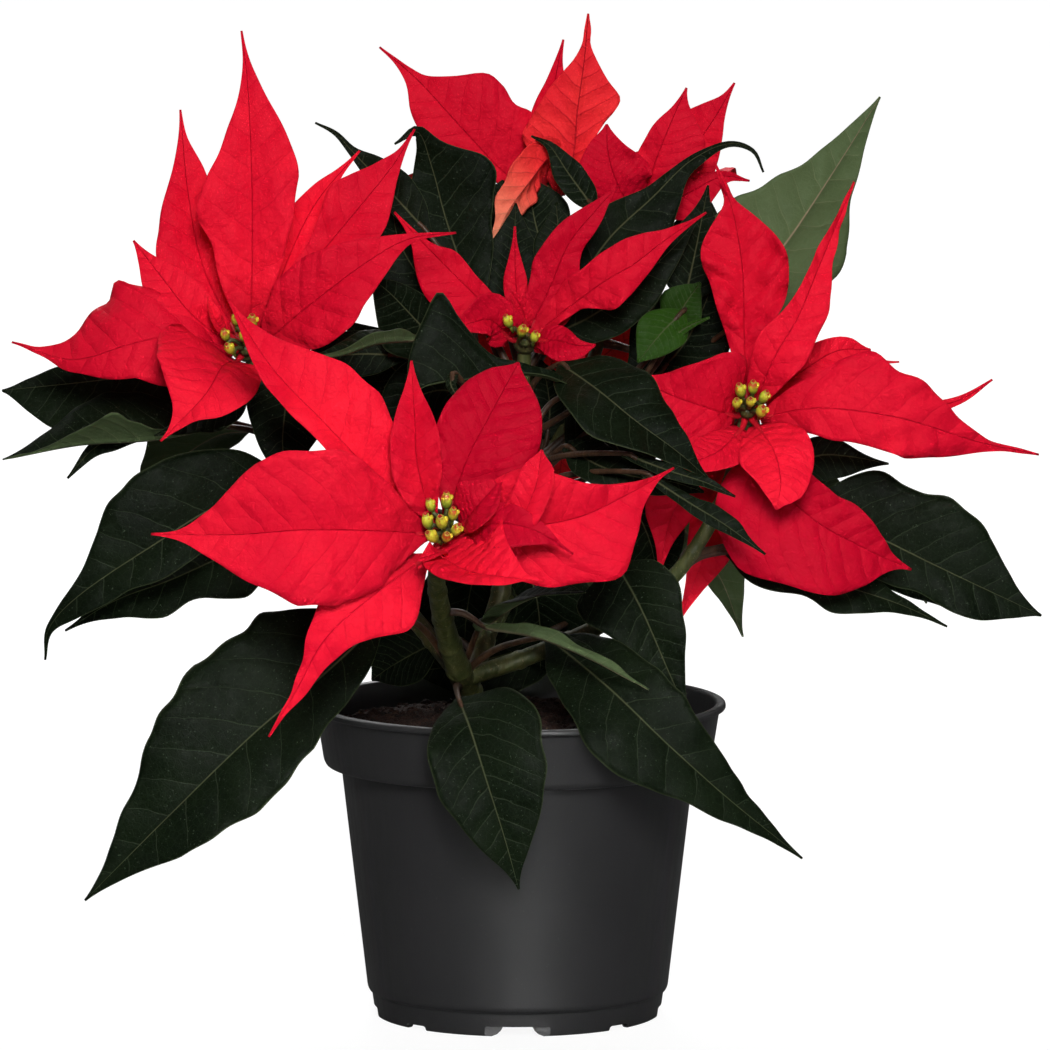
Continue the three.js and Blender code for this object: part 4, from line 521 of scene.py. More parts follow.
for side, branches in (("centre", CENTRE_STEMS), ("left", LEFT_STEMS), ("right", RIGHT_STEMS)):
    lines = [stem_line(**branch) for branch in branches]
    stalk_piece(f"stems_{side}", lines, stem_skin, f"stem_{side}", sides=20)

# ---- The leaves ------------------------------------------------------------------------------------------
# Dark green, satin leaves with a few blunt teeth and a drawn-out tip, 0.5 mm thick. A pale rib stands out
# underneath, with about ten pairs of side veins; the blade swells a little between them. The underside is
# a dull grey-green. Young leaves are brighter. Each leaf's root wraps the end of its stalk.

# Each leaf: its stalk from the stem; its rib, from the blade's root to its tip; where its face looks, at
# the root and, if it twists, at the tip; the half widths left and right of the rib at even steps, seen from
# its face with the tip up, or left alone where both are alike; fold, how many degrees each half rises from
# flat; wave and waves, the height and number of the waves along its margin; age, from young to grown on a
# leaf, while on a bract it is painted shade, from lit scarlet to deep red in shade.
FRONT_LEAVES = [
    # big, low on the left
    dict(stalk=[[-23, -22, 117], [-33, -34, 131]],
        rib=[[-44, -42, 134], [-62, -54, 118.5], [-85, -63, 100], [-110, -66, 76], [-138.5, -60, 46.5]],
        face=[0, -0.9, 0.45], left=[1.5, 8, 12, 15, 19, 20.5, 18.5, 15, 9.5, 4],
        right=[1.5, 17, 26, 27.5, 28.5, 27, 22.5, 16, 10, 4], fold=[10, 12], wave=1.2, waves=3.5),
    # over the rim, to the front
    dict(stalk=[[-20, -10, 108], [-21, -34, 111]],
        rib=[[-20, -56, 110.5], [-16, -70, 102], [-11, -77, 87], [-5.5, -78, 69.5], [-1, -75, 52.5]],
        face=[0, -1, 0.15], left=[1.5, 14, 20, 22, 21.5, 20, 16.5, 12.5, 8, 3],
        right=[1.5, 8, 13, 15.5, 16, 16, 14, 10.5, 7, 2.8], wave=0.6),
    # over the rim, to the right
    dict(stalk=[[-20, -15, 112], [-8, -24, 122]],
        rib=[[8, -32, 127], [28, -57, 113.5], [46, -64, 97], [66, -61, 78.5], [89, -51, 58.5]],
        face=[-0.1, -0.85, 0.55], left=[1.5, 9, 13, 15, 15, 13, 10.5, 7.5, 4.5, 1.8],
        right=[1.5, 9, 13, 16, 20.5, 17, 12, 8.5, 5, 2], fold=[10, 4], wave=0.8),
    # thin, folded, under the front bloom
    dict(stalk=[[-27, -50, 137], [-19, -50, 137]],
        rib=[[-12, -52, 133], [5, -64, 131.5], [22, -68, 125], [40, -64, 114.5]], face=[0, -0.2, 1],
        left=[1, 4, 6, 6, 4, 1.5], right=[1, 3, 5, 4, 3, 1.5], fold=[10, 70]),
    # in shade under the front bloom
    dict(stalk=[[-20, -14, 112], [-17, -18, 120]],
        rib=[[-14, -22, 128], [-2, -42, 139], [8, -58, 144.5], [20, -68, 146]], face=[0, -0.5, 0.9],
        left=[1.5, 8, 11, 11, 7, 3], fold=10),
]

LEFT_LEAVES = [
    # big, hooked tip
    dict(stalk=[[-44, 2, 141], [-56, -10, 162]],
        rib=[[-70, -20, 172], [-95, -31, 169.5], [-118, -37, 156.5], [-140, -36, 141.5], [-150.5, -30, 130],
            [-152.5, -24, 118.5]], face=[0, -1, 0.3], left=[1.5, 8, 11, 11, 11.5, 11.5, 9, 7.5, 5, 1.4],
        right=[1.5, 10, 17, 20, 21.5, 20.5, 13, 5.5, 2, 1], wave=1),
    # behind and below it
    dict(stalk=[[-36, 2, 130], [-54, -4, 147]],
        rib=[[-72, -12, 159], [-92, -18, 152.5], [-112, -22, 144], [-130, -20, 137], [-146.5, -14, 126.5]],
        face=[0, -0.9, 0.45], left=[1.5, 8, 13, 16, 13, 10, 11.5, 8, 5, 1.8],
        right=[1.5, 7, 10, 11, 11, 10, 8, 6, 4, 1.5], fold=[8, 10], wave=1),
    # flat, at the far left
    dict(stalk=[[-79, -5, 195], [-88, 4, 203]],
        rib=[[-97, 8, 207], [-118, 8, 207], [-140, 6, 204.5], [-167.5, 8, 201.5]], face=[0, -0.9, 0.45],
        left=[1.5, 7, 11, 14, 16, 17, 16, 9], right=[1.5, 5, 7, 8.5, 9, 8, 6, 3], fold=[6, 8]),
    # folded up along its rib
    dict(stalk=[[-70, -2, 180], [-84, -3, 189]],
        rib=[[-98, -5, 191.5], [-118, -10, 188], [-142, -13, 186.5], [-166.5, -8, 181]],
        face=[0, -0.6, 0.8], left=[1.5, 3, 4, 6, 9, 14, 19, 12, 6, 3, 1.5, 1],
        right=[1.5, 12, 18, 20, 20, 16, 10, 4], fold=[72, 8]),
    # narrow, under it
    dict(stalk=[[-75, -3, 187], [-88, 6, 190]],
        rib=[[-100, 5, 193], [-120, 1, 189.5], [-136, -3, 185], [-146, -4, 174.5]], face=[0, -0.9, 0.4],
        left=[1.2, 2, 2.5, 3, 4, 2], right=[1.2, 3, 4, 5, 3, 1.5], fold=8),
    # under the left bloom
    dict(stalk=[[-82, -7, 200], [-84, -12, 203]],
        rib=[[-88, -16, 203], [-99, -24, 198.5], [-110, -28, 193.5], [-117, -29, 191]], face=[0, -0.7, 0.7],
        left=[1.5, 6, 9, 9, 6, 2.5], right=[1.5, 6, 8, 8, 5, 2], fold=8),
    # hanging in shade beside the front bloom
    dict(stalk=[[-84, -10, 207], [-78, -14, 213]],
        rib=[[-74, -18, 211], [-75, -28, 202], [-76, -36, 189], [-74, -38, 173]], face=[-0.1, -0.9, 0.3],
        left=[1.5, 9, 13, 14, 12, 8, 3], right=[1.5, 8, 12, 12, 9, 6, 2.5], fold=8),
    # at the back
    dict(stalk=[[-70, -2, 180], [-77, 16, 187]],
        rib=[[-84, 27, 187], [-100, 46, 183], [-117, 60, 169], [-128, 68, 149]], face=[-0.3, 0.6, 0.8],
        left=[1.5, 9, 16, 19, 17, 12, 7, 3], fold=10, wave=0.8),
    dict(stalk=[[-56, 1, 158], [-63, 20, 163]],
        rib=[[-68, 34, 163], [-82, 58, 162], [-96, 80, 150], [-106, 94, 132]], face=[-0.2, 0.7, 0.7],
        left=[1.5, 10, 18, 21, 19, 13, 7, 3], fold=10, wave=0.8),
]

RIGHT_LEAVES = [
    # big, far right
    dict(stalk=[[63, -12, 168], [78, -4, 171]],
        rib=[[92, 2, 166.5], [106, -1, 159.5], [120, -5, 152.8], [140, -8, 143.3], [167, -6, 130.3]],
        face=[0, -1, 0.25], left=[1.5, 13, 20, 18.5, 19.5, 22, 19.5, 15.5, 9, 3.5],
        right=[1.5, 9, 13, 14, 13, 11, 11, 12, 9.5, 5], fold=[8, 10], wave=1),
    # its small neighbour above
    dict(stalk=[[66, -14, 172], [78, -3, 174]],
        rib=[[86, 4, 177], [96, 4, 181], [107, 3, 180.5], [118, 2, 178.5]], face=[0, -1, 0.2],
        left=[1.5, 6, 5, 1.5], right=[1.5, 9, 8, 4], fold=8),
    # below it, in shade
    dict(stalk=[[55, -11, 151], [78, -2, 154]],
        rib=[[98, 4, 150], [116, 3, 143.5], [129, 2, 137], [138.5, 0, 131.5]], face=[0, -0.9, 0.4],
        left=[1.5, 5, 6, 6, 4, 2], right=[1.5, 4, 5, 5, 4, 2], fold=8),
    # low, under the right bloom
    dict(stalk=[[52, -11, 147], [58, -9, 150]],
        rib=[[66, -8, 151], [85, -14, 146], [105, -16, 140.5], [122, -14, 134.5], [136.5, -10, 127.3]],
        face=[0, -0.8, 0.6], left=[1.5, 8, 10, 10, 10, 9, 7, 4.5, 2.5, 1],
        right=[1.5, 7, 9.5, 8.5, 9, 11, 8.5, 5, 3, 1], fold=8, wave=0.8),
    # hanging over the rim, right of the front bloom
    dict(stalk=[[26, -6, 127], [26, -22, 144]],
        rib=[[30, -34, 151], [38, -42, 137], [46, -46, 119], [52, -47.5, 105], [53.8, -48, 96.5]],
        face=[0, -1, 0.1], left=[1.5, 11, 14, 14, 12, 10, 7, 4, 1.8, 1],
        right=[3, 17, 19, 15.5, 11.5, 8.5, 7, 4.5, 2.5, 1.2], fold=14, wave=0.8),
    # at the back
    dict(stalk=[[63, -12, 168], [80, 2, 167]],
        rib=[[87, 20, 168], [103, 40, 161], [122, 56, 146], [133, 64, 125]], face=[0.3, 0.6, 0.8],
        left=[1.5, 9, 16, 19, 17, 12, 7, 3], fold=10, wave=0.8),
    dict(stalk=[[28, -6, 128], [40, 14, 130]],
        rib=[[56, 34, 150], [78, 58, 163], [99, 80, 158], [114, 94, 142]], face=[0.2, 0.7, 0.7],
        left=[1.5, 10, 18, 21, 19, 13, 7, 3], fold=10, wave=0.8),
]

CENTRE_LEAVES = [
    # upright, hooked tip, its face to the front
    dict(stalk=[[-1, 5, 198], [-8, 10, 213]],
        rib=[[-14, 15, 226], [-20, 21, 242], [-25, 24, 257], [-29, 24, 272], [-33.5, 20, 284],
            [-41, 16, 280.5]], face=[0, -1, 0.1], left=[1.5, 6, 10, 13, 14, 14, 10, 6, 3, 1.5],
        right=[1.5, 6, 10, 13, 15, 17, 20, 16, 5, 1.5], fold=10, wave=0.6),
    # thin tip to the upper left
    dict(stalk=[[-1, 4, 203], [-17, 8, 234]],
        rib=[[-30, 10, 252], [-44, 14, 267], [-54, 15, 277.5], [-60, 15, 284], [-66.5, 14, 287.5]],
        face=[0, -1, 0.2], left=[1.5, 4, 4.5, 4, 2.5, 1.4, 0.8], right=[1.5, 6, 7.5, 7.5, 5, 1.6, 0.8],
        fold=10),
    # behind the centre bloom, hooked over at the tip
    dict(stalk=[[0, 5, 205], [9, 12, 220]],
        rib=[[16, 17, 232], [28, 24, 249], [42, 28, 262], [54, 30, 273.5], [66, 28, 279.5],
            [74.5, 27, 277.5], [78, 26, 270.5]], face=[0, -1, 0.2],
        left=[1.5, 7, 9, 8.5, 6, 3.5, 2, 1.3, 0.9, 0.7], right=[1.5, 8, 13, 16, 14, 9, 4.5, 2.8, 1.4, 0.8],
        fold=[8, 10]),
    # under the centre bloom's right bract
    dict(stalk=[[0, 5, 206], [4, 10, 213]],
        rib=[[9, 10, 219], [23, 8, 226], [36, 7, 236], [48, 9, 247], [56, 10, 256]], face=[0, -1, 0.3],
        left=[1.5, 5, 7, 8, 8, 6, 3], right=[1.5, 7, 10, 10.5, 9, 6, 3], fold=8),
    # folded, in front of the centre bloom
    dict(stalk=[[0, 4, 186], [14, -10, 196]],
        rib=[[22, -19, 203], [5, -32, 211], [-14, -37, 210.5], [-29, -41, 209], [-36, -41, 204.5]],
        face=[0, -0.95, 0.3], left=[1.5, 3.5, 4, 4, 4, 4.5, 4, 3, 1.5, 1],
        right=[1.5, 2, 2, 2, 2.5, 3, 4, 6, 11.5, 19, 29, 20, 8], fold=[80, 6], quilt=0.35, crumple=0.6),
    # tiny, hanging before it
    dict(stalk=[[-1, 6, 172], [-12, -30, 198]], rib=[[-21, -46, 213], [-22.5, -52, 210], [-18.5, -55, 204]],
        face=[0, -1, 0.2], left=[1, 1.8, 1.2], fold=6),
    # along the top edge of the front bloom's upper left bract
    dict(stalk=[[-1, 5, 194], [-19, -10, 212]],
        rib=[[-34, -28, 222], [-46, -45, 222.5], [-58, -55, 219.5], [-69, -59, 219.5]], face=[0, -0.6, 0.8],
        left=[1.5, 4, 5, 5, 4, 2], right=[1.5, 5, 6, 6, 5, 2.5], fold=[80, 8]),
    # behind it, rising to the left
    dict(stalk=[[-1, 5, 192], [-12, 6, 206]],
        rib=[[-24, 4, 214], [-34, 0, 225], [-42, -5, 234], [-49, -7, 240]], face=[0, -1, 0.4],
        left=[1.5, 10, 14, 13, 7], right=[1.5, 6, 8, 7, 4], fold=8),
    # wavy, between the front and the right bloom
    dict(stalk=[[-1, 6, 182], [3, -6, 204]],
        rib=[[12, -18, 213], [24, -32, 206], [36, -40, 197], [50, -44, 187], [60, -44, 178]],
        face=[0, -0.7, 0.7], left=[1.5, 10, 14, 15, 14, 11, 7, 3], right=[1.5, 9, 13, 16, 16, 12, 7, 3],
        fold=[8, 14], wave=1.4, waves=3),
    # narrow young leaves below it
    dict(stalk=[[-1, 7, 176], [14, -22, 184]],
        rib=[[32, -42, 187], [45, -47, 182.5], [58, -49, 178.5], [67.5, -49, 174]], face=[0, -0.9, 0.4],
        left=[1, 2, 2.4, 2.2, 1.5], fold=8),
    dict(stalk=[[-1, 7, 168], [16, -22, 178]],
        rib=[[38, -42, 181], [52, -48, 172.5], [64, -52, 165.5], [77, -52, 156]], face=[0, -0.9, 0.4],
        left=[1, 1.6, 2.2, 2.8, 3.8, 3.6, 1.3], right=[1, 1.6, 2.2, 2.8, 3, 2.4, 1], fold=8),
    # small ones in shade between the upper blooms
    dict(stalk=[[3, 28, 190], [-2, 24, 210]], rib=[[-6, 22, 226], [-3, 28, 243], [-2, 31, 260]],
        face=[0, -1, 0.2], left=[1.5, 7, 9, 8, 4], fold=8),
    dict(stalk=[[4, 34, 206], [10, 22, 218]], rib=[[12, 20, 232], [12, 26, 247], [11, 29, 260.5]],
        face=[0, -1, 0.2], left=[1.5, 6, 8.5, 8, 4], right=[1.5, 7, 9, 8, 4], fold=8),
    dict(stalk=[[6, 42, 226], [16, 34, 244]],
        rib=[[24, 28, 257.5], [19, 33, 264], [14.5, 36, 270], [9, 37, 278], [3, 35, 281.5]],
        face=[0, -1, 0.3], left=[1, 4, 5, 5, 3, 1.2], fold=10),
    dict(stalk=[[30, 40, 228], [44, 24, 226]], rib=[[52, 17, 228], [56, 18, 246], [60, 18, 267]],
        face=[0, -1, 0.2], left=[1.5, 9, 12, 8, 3], fold=8),
    dict(stalk=[[-2, 9, 150], [-14, 22, 172]], rib=[[-24, 28, 188], [-42, 34, 206], [-58, 34, 222]],
        face=[0, -1, 0.3], left=[1.5, 12, 16, 13, 6], fold=8),
    # upright at the back, its underside to the front
    dict(stalk=[[27, 37, 214], [50, 28, 210]],
        rib=[[67, 16, 221], [78, 23, 238], [89.5, 27, 253.5], [104, 27, 276], [115.5, 25, 295]],
        face=[-0.1, 1, -0.1], left=[1.5, 9, 16, 19, 20, 17, 11.5, 8, 5, 2.3],
        right=[1.5, 12, 20, 23.5, 22, 17, 12, 8, 5, 2.5], fold=8, wave=0.8),
    # young bright leaf and its narrow neighbours
    dict(stalk=[[8, 17, 178], [40, 8, 206]], rib=[[52, 0, 228], [45, -6, 222], [37, -9, 212.5]],
        face=[0.1, -0.9, 0.4], left=[1.5, 6, 8, 7, 4], right=[1.5, 5, 7.5, 8, 4.5], fold=8, age_and_shade=0.1),
    dict(stalk=[[8, 17, 176], [34, 2, 200]], rib=[[45, -5, 217.5], [52.5, -6.8, 223.4], [60, -9.5, 227]],
        face=[0, -1, 0.2], left=[1, 1.7, 1], fold=6, age_and_shade=0.0),
    dict(stalk=[[8, 17, 180], [36, 18, 206]], rib=[[48, 14, 220], [52, 14, 228], [57.5, 13, 236]],
        face=[0, -1, 0.2], left=[1.5, 6, 8, 5], right=[1.5, 6, 7, 4], fold=8, age_and_shade=0.35),
    # large dark ones that close the middle, between the blooms and the pot
    dict(stalk=[[-14, 3, 115], [-20, 18, 119]],
        rib=[[-26, 26, 118], [-35, 30, 113], [-43, 33, 108], [-49, 35, 103.5]], face=[0, -0.8, 0.6],
        left=[1.5, 9, 11, 10, 6], right=[1.5, 12, 17, 16, 11], fold=8),
    dict(stalk=[[-10, 7, 130], [-7, 10, 146]],
        rib=[[-10, 16, 150], [-15, 26, 141], [-18, 32, 126], [-19, 36, 109]], face=[0, -1, 0.2],
        left=[1.5, 10, 15, 16, 13], fold=8),
    dict(stalk=[[-6, 8, 138], [-2, 14, 144]], rib=[[-1, 22, 144], [4, 32, 134], [6, 39, 119], [6, 42, 106]],
        face=[0, -1, 0.2], left=[1.5, 12, 18, 20, 17], right=[1.5, 10, 15, 16, 13], fold=8),
    dict(stalk=[[0, 12, 164], [20, 14, 172]],
        rib=[[29, 16, 172], [37, 18, 161], [42, 22, 149], [44, 26, 136]], face=[0, -1, 0.2],
        left=[1.5, 10, 13, 12, 8], right=[1.5, 10, 14, 14, 10], fold=8),
    dict(stalk=[[-1, 6, 182], [8, 8, 196]],
        rib=[[14, 12, 199], [24, 14, 191], [32, 16, 180], [36, 17, 167]], face=[0, -1, 0.2],
        left=[1.5, 12, 15, 14, 9], fold=8),
    # smaller ones that close the gaps between the blooms
    dict(stalk=[[3, 8, 172], [6, 18, 178]], rib=[[8, 22, 184], [9, 24, 193], [8, 24, 202], [6, 22, 210]],
        face=[0, -1, 0.1], left=[1.5, 6, 8, 7, 4], fold=8),
    dict(stalk=[[30, 12, 176], [38, 20, 176]],
        rib=[[43, 22, 179], [42, 28, 194], [42, 33, 210], [42, 35, 226], [43, 35, 238]], face=[0, -1, 0.1],
        left=[1.5, 8, 9, 8, 7, 4], fold=8),
    dict(stalk=[[-8, 16, 190], [-14, 30, 205]],
        rib=[[-16.3, 44, 235.4], [-12.4, 48, 244.8], [-9.5, 50, 254.5], [-6.2, 50, 265.9]],
        face=[0, -1, 0.1], left=[1.5, 8, 11, 11, 7], fold=8),
    dict(stalk=[[30, 24, 196], [44, 36, 208]],
        rib=[[53.3, 44, 230.5], [55.7, 48, 241.6], [58, 50, 252.2], [59.9, 50, 262.6]], face=[0, -1, 0.1],
        left=[1.5, 8, 10, 9, 5], fold=8),
    # wavy, in shade right of the front bloom
    dict(stalk=[[6, 0, 178], [10, -12, 183]],
        rib=[[14, -20, 186.8], [24.8, -28, 181.3], [37.5, -31, 177.8], [47.7, -30, 176.4],
            [58, -26, 172.7]], face=[0, -0.9, 0.35], left=[2, 8, 7, 6, 7, 6, 4],
        right=[2, 6, 7, 7, 6, 5, 3], fold=[18, 10], wave=1.5, waves=3.5),
    # low behind the stems, just over the peat
    dict(stalk=[[8, 12, 122], [14, 34, 122]],
        rib=[[12, 44, 117], [-4, 49, 110.5], [-20, 50, 106.5], [-37, 47, 104.5]], face=[0, -1, 0.2],
        left=[2, 11, 13, 13, 11, 6], right=[2, 8, 9, 9, 8, 4], fold=8),
    # more in shade between the blooms
    dict(stalk=[[-1, 6, 178], [-9, 9, 190]],
        rib=[[-14, 12, 196], [-25, 14, 201], [-36, 15, 197], [-43, 15, 186]], face=[0, -1, 0.2],
        left=[1.5, 9, 12, 11, 7], fold=8),
    dict(stalk=[[22, 33, 204], [36, 28, 200]],
        rib=[[44, 24, 205], [53, 22, 216], [59, 21, 228], [63, 21, 240]], face=[0, -1, 0.2],
        left=[1.5, 11, 15, 14, 8], right=[1.5, 11, 14, 12, 7], fold=8),
    dict(stalk=[[-1, 6, 190], [-12, 10, 210]],
        rib=[[-20, 12, 222], [-32, 15, 236], [-40, 17, 250], [-42, 17, 264]], face=[0, -1, 0.2],
        left=[1.5, 9, 11, 10, 6], fold=8),
    dict(stalk=[[-1, 6, 186], [-24, 6, 208]],
        rib=[[-38, 3, 213], [-50, 2, 214], [-62, 1, 213], [-73, 0, 209]], face=[0, -1, 0.3],
        left=[1.5, 6, 8, 7, 4], fold=8),
    dict(stalk=[[5, 38, 214], [8, 39, 228]], rib=[[8, 40, 240], [4, 43, 254], [2, 45, 268]],
        face=[0, -1, 0.1], left=[1.5, 9, 12, 9], fold=8),
    # at the back
    dict(stalk=[[3, 28, 190], [-6, 44, 191]],
        rib=[[-14, 58, 187], [-30, 78, 184], [-46, 92, 170], [-56, 98, 148]], face=[-0.2, 0.7, 0.8],
        left=[1.5, 10, 18, 21, 19, 13, 7, 3], fold=10, wave=0.8),
    dict(stalk=[[-4, 30, 130], [-2, 46, 137]],
        rib=[[0, 60, 137], [4, 84, 129], [7, 104, 109], [8, 116, 87]], face=[0, 0.7, 0.7],
        left=[1.5, 10, 18, 21, 19, 13, 7, 3], fold=10, wave=0.8),
    dict(stalk=[[5, 67, 158], [22, 74, 160]],
        rib=[[34, 82, 157], [52, 100, 147], [66, 114, 128], [74, 122, 106]], face=[0.3, 0.7, 0.7],
        left=[1.5, 9, 16, 19, 17, 12, 7, 3], fold=10, wave=0.8),
    dict(stalk=[[15, 25, 190], [28, 42, 196]],
        rib=[[40, 56, 196], [56, 78, 192], [70, 96, 176], [80, 108, 156]], face=[0.3, 0.6, 0.8],
        left=[1.5, 9, 16, 19, 17, 12, 7, 3], fold=10, wave=0.8),
    dict(stalk=[[-3, 10, 140], [-18, 26, 156]],
        rib=[[-34, 40, 160], [-48, 62, 156], [-62, 84, 142], [-72, 98, 120]], face=[-0.3, 0.7, 0.7],
        left=[1.5, 9, 16, 19, 17, 12, 7, 3], fold=10, wave=0.8),
]

TIP = 0.35  # half width at the very tip
ROW, FEWEST_ROWS = 1.6, 8  # between one row of a blade's points and the next
COLUMNS = 10  # on each side of the rib
VEIN_PAIRS = 10
VEIN_SLANT, VEIN_CURL = 0.62, 0.011  # how far a side vein runs forward as it leaves the rib
VEIN_STAGGER = 0.45  # how far the veins of the right half are ahead of the left's, in their spacing
NEAR, BESIDE = 0.5, 1.2  # how far the first two columns are from the rib, where the blade is wide
RIB_WIDTH = 0.75
THINNING = 0.45  # how much thinner a blade is at its margin than at its rib
TOOTH, TOOTHLET = 8.5, 2.3  # how far the blunt teeth, and the small ones between, spread along the margin
RUFFLE, RUFFLET = 3.3, 1.7  # the same for the margin's ups and downs
ARCH = 0.05  # how far a half bows up between rib and margin, in its width
CRUMPLES = 5  # how many slanting folds together make a blade's crumple


def unit(vectors):
    """Vectors brought to a length of one."""
    return vectors / np.linalg.norm(vectors, axis=-1)[..., None]


def blade(rib, face, left, right=None, tip_face=None, fold=12, wave=0, waves=2.5, age_and_shade=0.5, tint=0.0,
        thick=0.5, ridge=0.9, quilt=0.16, crumple=0.35, lobes=0.055, number=0, stalk=None):
    """One thin leaf or bract, its rib a ridge on the underside: its points, its faces and, for its veins,
    attributes of its points. Its number seeds its chance. Its stalk is made apart."""
    chance = np.random.default_rng(100 + number)
    length = line_through(rib, 2)[2]
    rows = max(int(length / ROW), FEWEST_ROWS)
    places, ahead, length = line_through(rib, rows + 1)
    spacing = length / VEIN_PAIRS
    along = np.linspace(0, 1, rows + 1)
    run = along * length
    belly = np.sin(math.pi * along)  # nothing at root and tip, one in the middle
    held = np.minimum(1, 4 * along * (1 - along))
    root_up, tip_up = unit(np.array(face, float)), unit(np.array(tip_face or face, float))
    up = root_up + (tip_up - root_up) * along[:, None]
    up = unit(up - ahead * (up * ahead).sum(1)[:, None])
    across = np.cross(ahead, up)
    starts = chance.uniform(0, math.tau, 4)
    crumples = [(chance.uniform(0.35, 0.75), chance.uniform(0, math.pi), chance.uniform(0, math.tau))
        for _ in range(CRUMPLES)]
    left_fold, right_fold = np.broadcast_to(fold, 2)
    columns = []
    for side, widths, rise in ((-1, left, left_fold), (1, right or left, right_fold)):
        width = np.maximum(read_along([*widths, TIP], along), TIP)
        tooth = np.abs(np.sin(run / TOOTH + starts[2] + side)) + 0.4 * np.sin(run / TOOTHLET + starts[3])
        width = width * (1 + lobes * (0.6 - tooth) * belly)
        lean = math.radians(rise)
        near = np.minimum(NEAR, 0.15 * width)
        beside = np.minimum(BESIDE, 0.36 * width)
        ruffle = 0.35 * np.sin(run / RUFFLE + starts[0] + side) + 0.25 * np.sin(run / RUFFLET + starts[1])
        swing = np.sin(math.tau * waves * along + (0 if side < 0 else 2))
        for column in range(0 if side > 0 else 1, COLUMNS + 1):
            if column < 3:
                out = (np.zeros_like(width), near, beside)[column]
            else:
                out = beside + (width - beside) * (column - 2) / (COLUMNS - 2)
            share = out / width  # nothing at the rib, one at the margin
            vein = (run - VEIN_SLANT * out - VEIN_CURL * out ** 2) / spacing
            vein = vein + (VEIN_STAGGER if side > 0 else 0)
            swell = quilt * np.cos(math.tau * vein) * 4 * share * (1 - share) * belly ** 0.5
            height = wave * share ** 2 * belly * swing + swell
            height = height + ARCH * width * np.sin(math.pi * share) * belly
            height = height + ruffle * share ** 3 * belly
            for pitch, turn, start in crumples:
                phase = pitch * (run * math.cos(turn) + side * out * math.sin(turn)) + start
                height = height + crumple * 0.45 * share * np.sin(phase) * held
            point = places + across * (side * out * math.cos(lean))[:, None]
            point = point + up * (out * math.sin(lean) + height)[:, None]
            slant = lean if column else 0
            outward = up * math.cos(slant) - across * side * math.sin(slant)
            half = thick / 2 * (1 - THINNING * share)
            keel = ridge * np.exp(-(out / RIB_WIDTH) ** 2) * (1 - along) ** 0.6 * (width > 1)
            upper = point + outward * half[:, None]
            lower = point - outward * (half + keel)[:, None]
            columns.append((side * column, upper, lower, side * out, share))
    columns.sort(key=lambda column: column[0])
    wide = len(columns)
    upper, lower, aside, share = (np.stack([column[k] for column in columns], 1) for k in (1, 2, 3, 4))
    size = upper.shape[0] * wide
    faces = []
    for first in range(0, rows * wide, wide):
        for a in range(first, first + wide - 1):
            faces.append((a, a + 1, a + 1 + wide, a + wide))
            faces.append((a + size, a + wide + size, a + 1 + wide + size, a + 1 + size))
        last = first + wide - 1
        faces.append((first, first + wide, first + wide + size, first + size))
        faces.append((last, last + size, last + wide + size, last + wide))
    for a in range(wide - 1):
        end = rows * wide + a
        faces.append((a, a + size, a + 1 + size, a + 1))
        faces.append((end, end + 1, end + 1 + size, end + size))
    vein_place = np.column_stack([aside.ravel(), np.repeat(run, wide), share.ravel()])
    nature = np.column_stack([np.full(size, length), np.zeros(size), np.full(size, chance.random())])
    growth_and_shade = np.tile([age_and_shade, tint, spacing], (size, 1))
    underside = (0, 1, 0)
    marks = {"vein_place": np.vstack([vein_place, vein_place]),
        "blade": np.vstack([nature, nature + underside]), "growth_and_shade": np.vstack([growth_and_shade, growth_and_shade])}
    return np.vstack([upper.reshape(-1, 3), lower.reshape(-1, 3)]), faces, marks


def blade_piece(name, blades, finish, solid):
    """Many blades as one piece, with what their veins need as attributes."""
    points, faces, start = [], [], 0
    for places, corners, _ in blades:
        points.append(places + (PLANT_X, 0, 0))
        faces += [tuple(k + start for k in face) for face in corners]
        start += len(places)
    piece = mesh_piece(name, np.vstack(points), faces, finish)
    for key in ("vein_place", "blade", "growth_and_shade"):
        values = np.vstack([marks[key] for _, _, marks in blades]).astype(np.float32)
        piece.data.attributes.new(key, "FLOAT_VECTOR", "POINT").data.foreach_set("vector", values.ravel())
    fit(piece, solid)


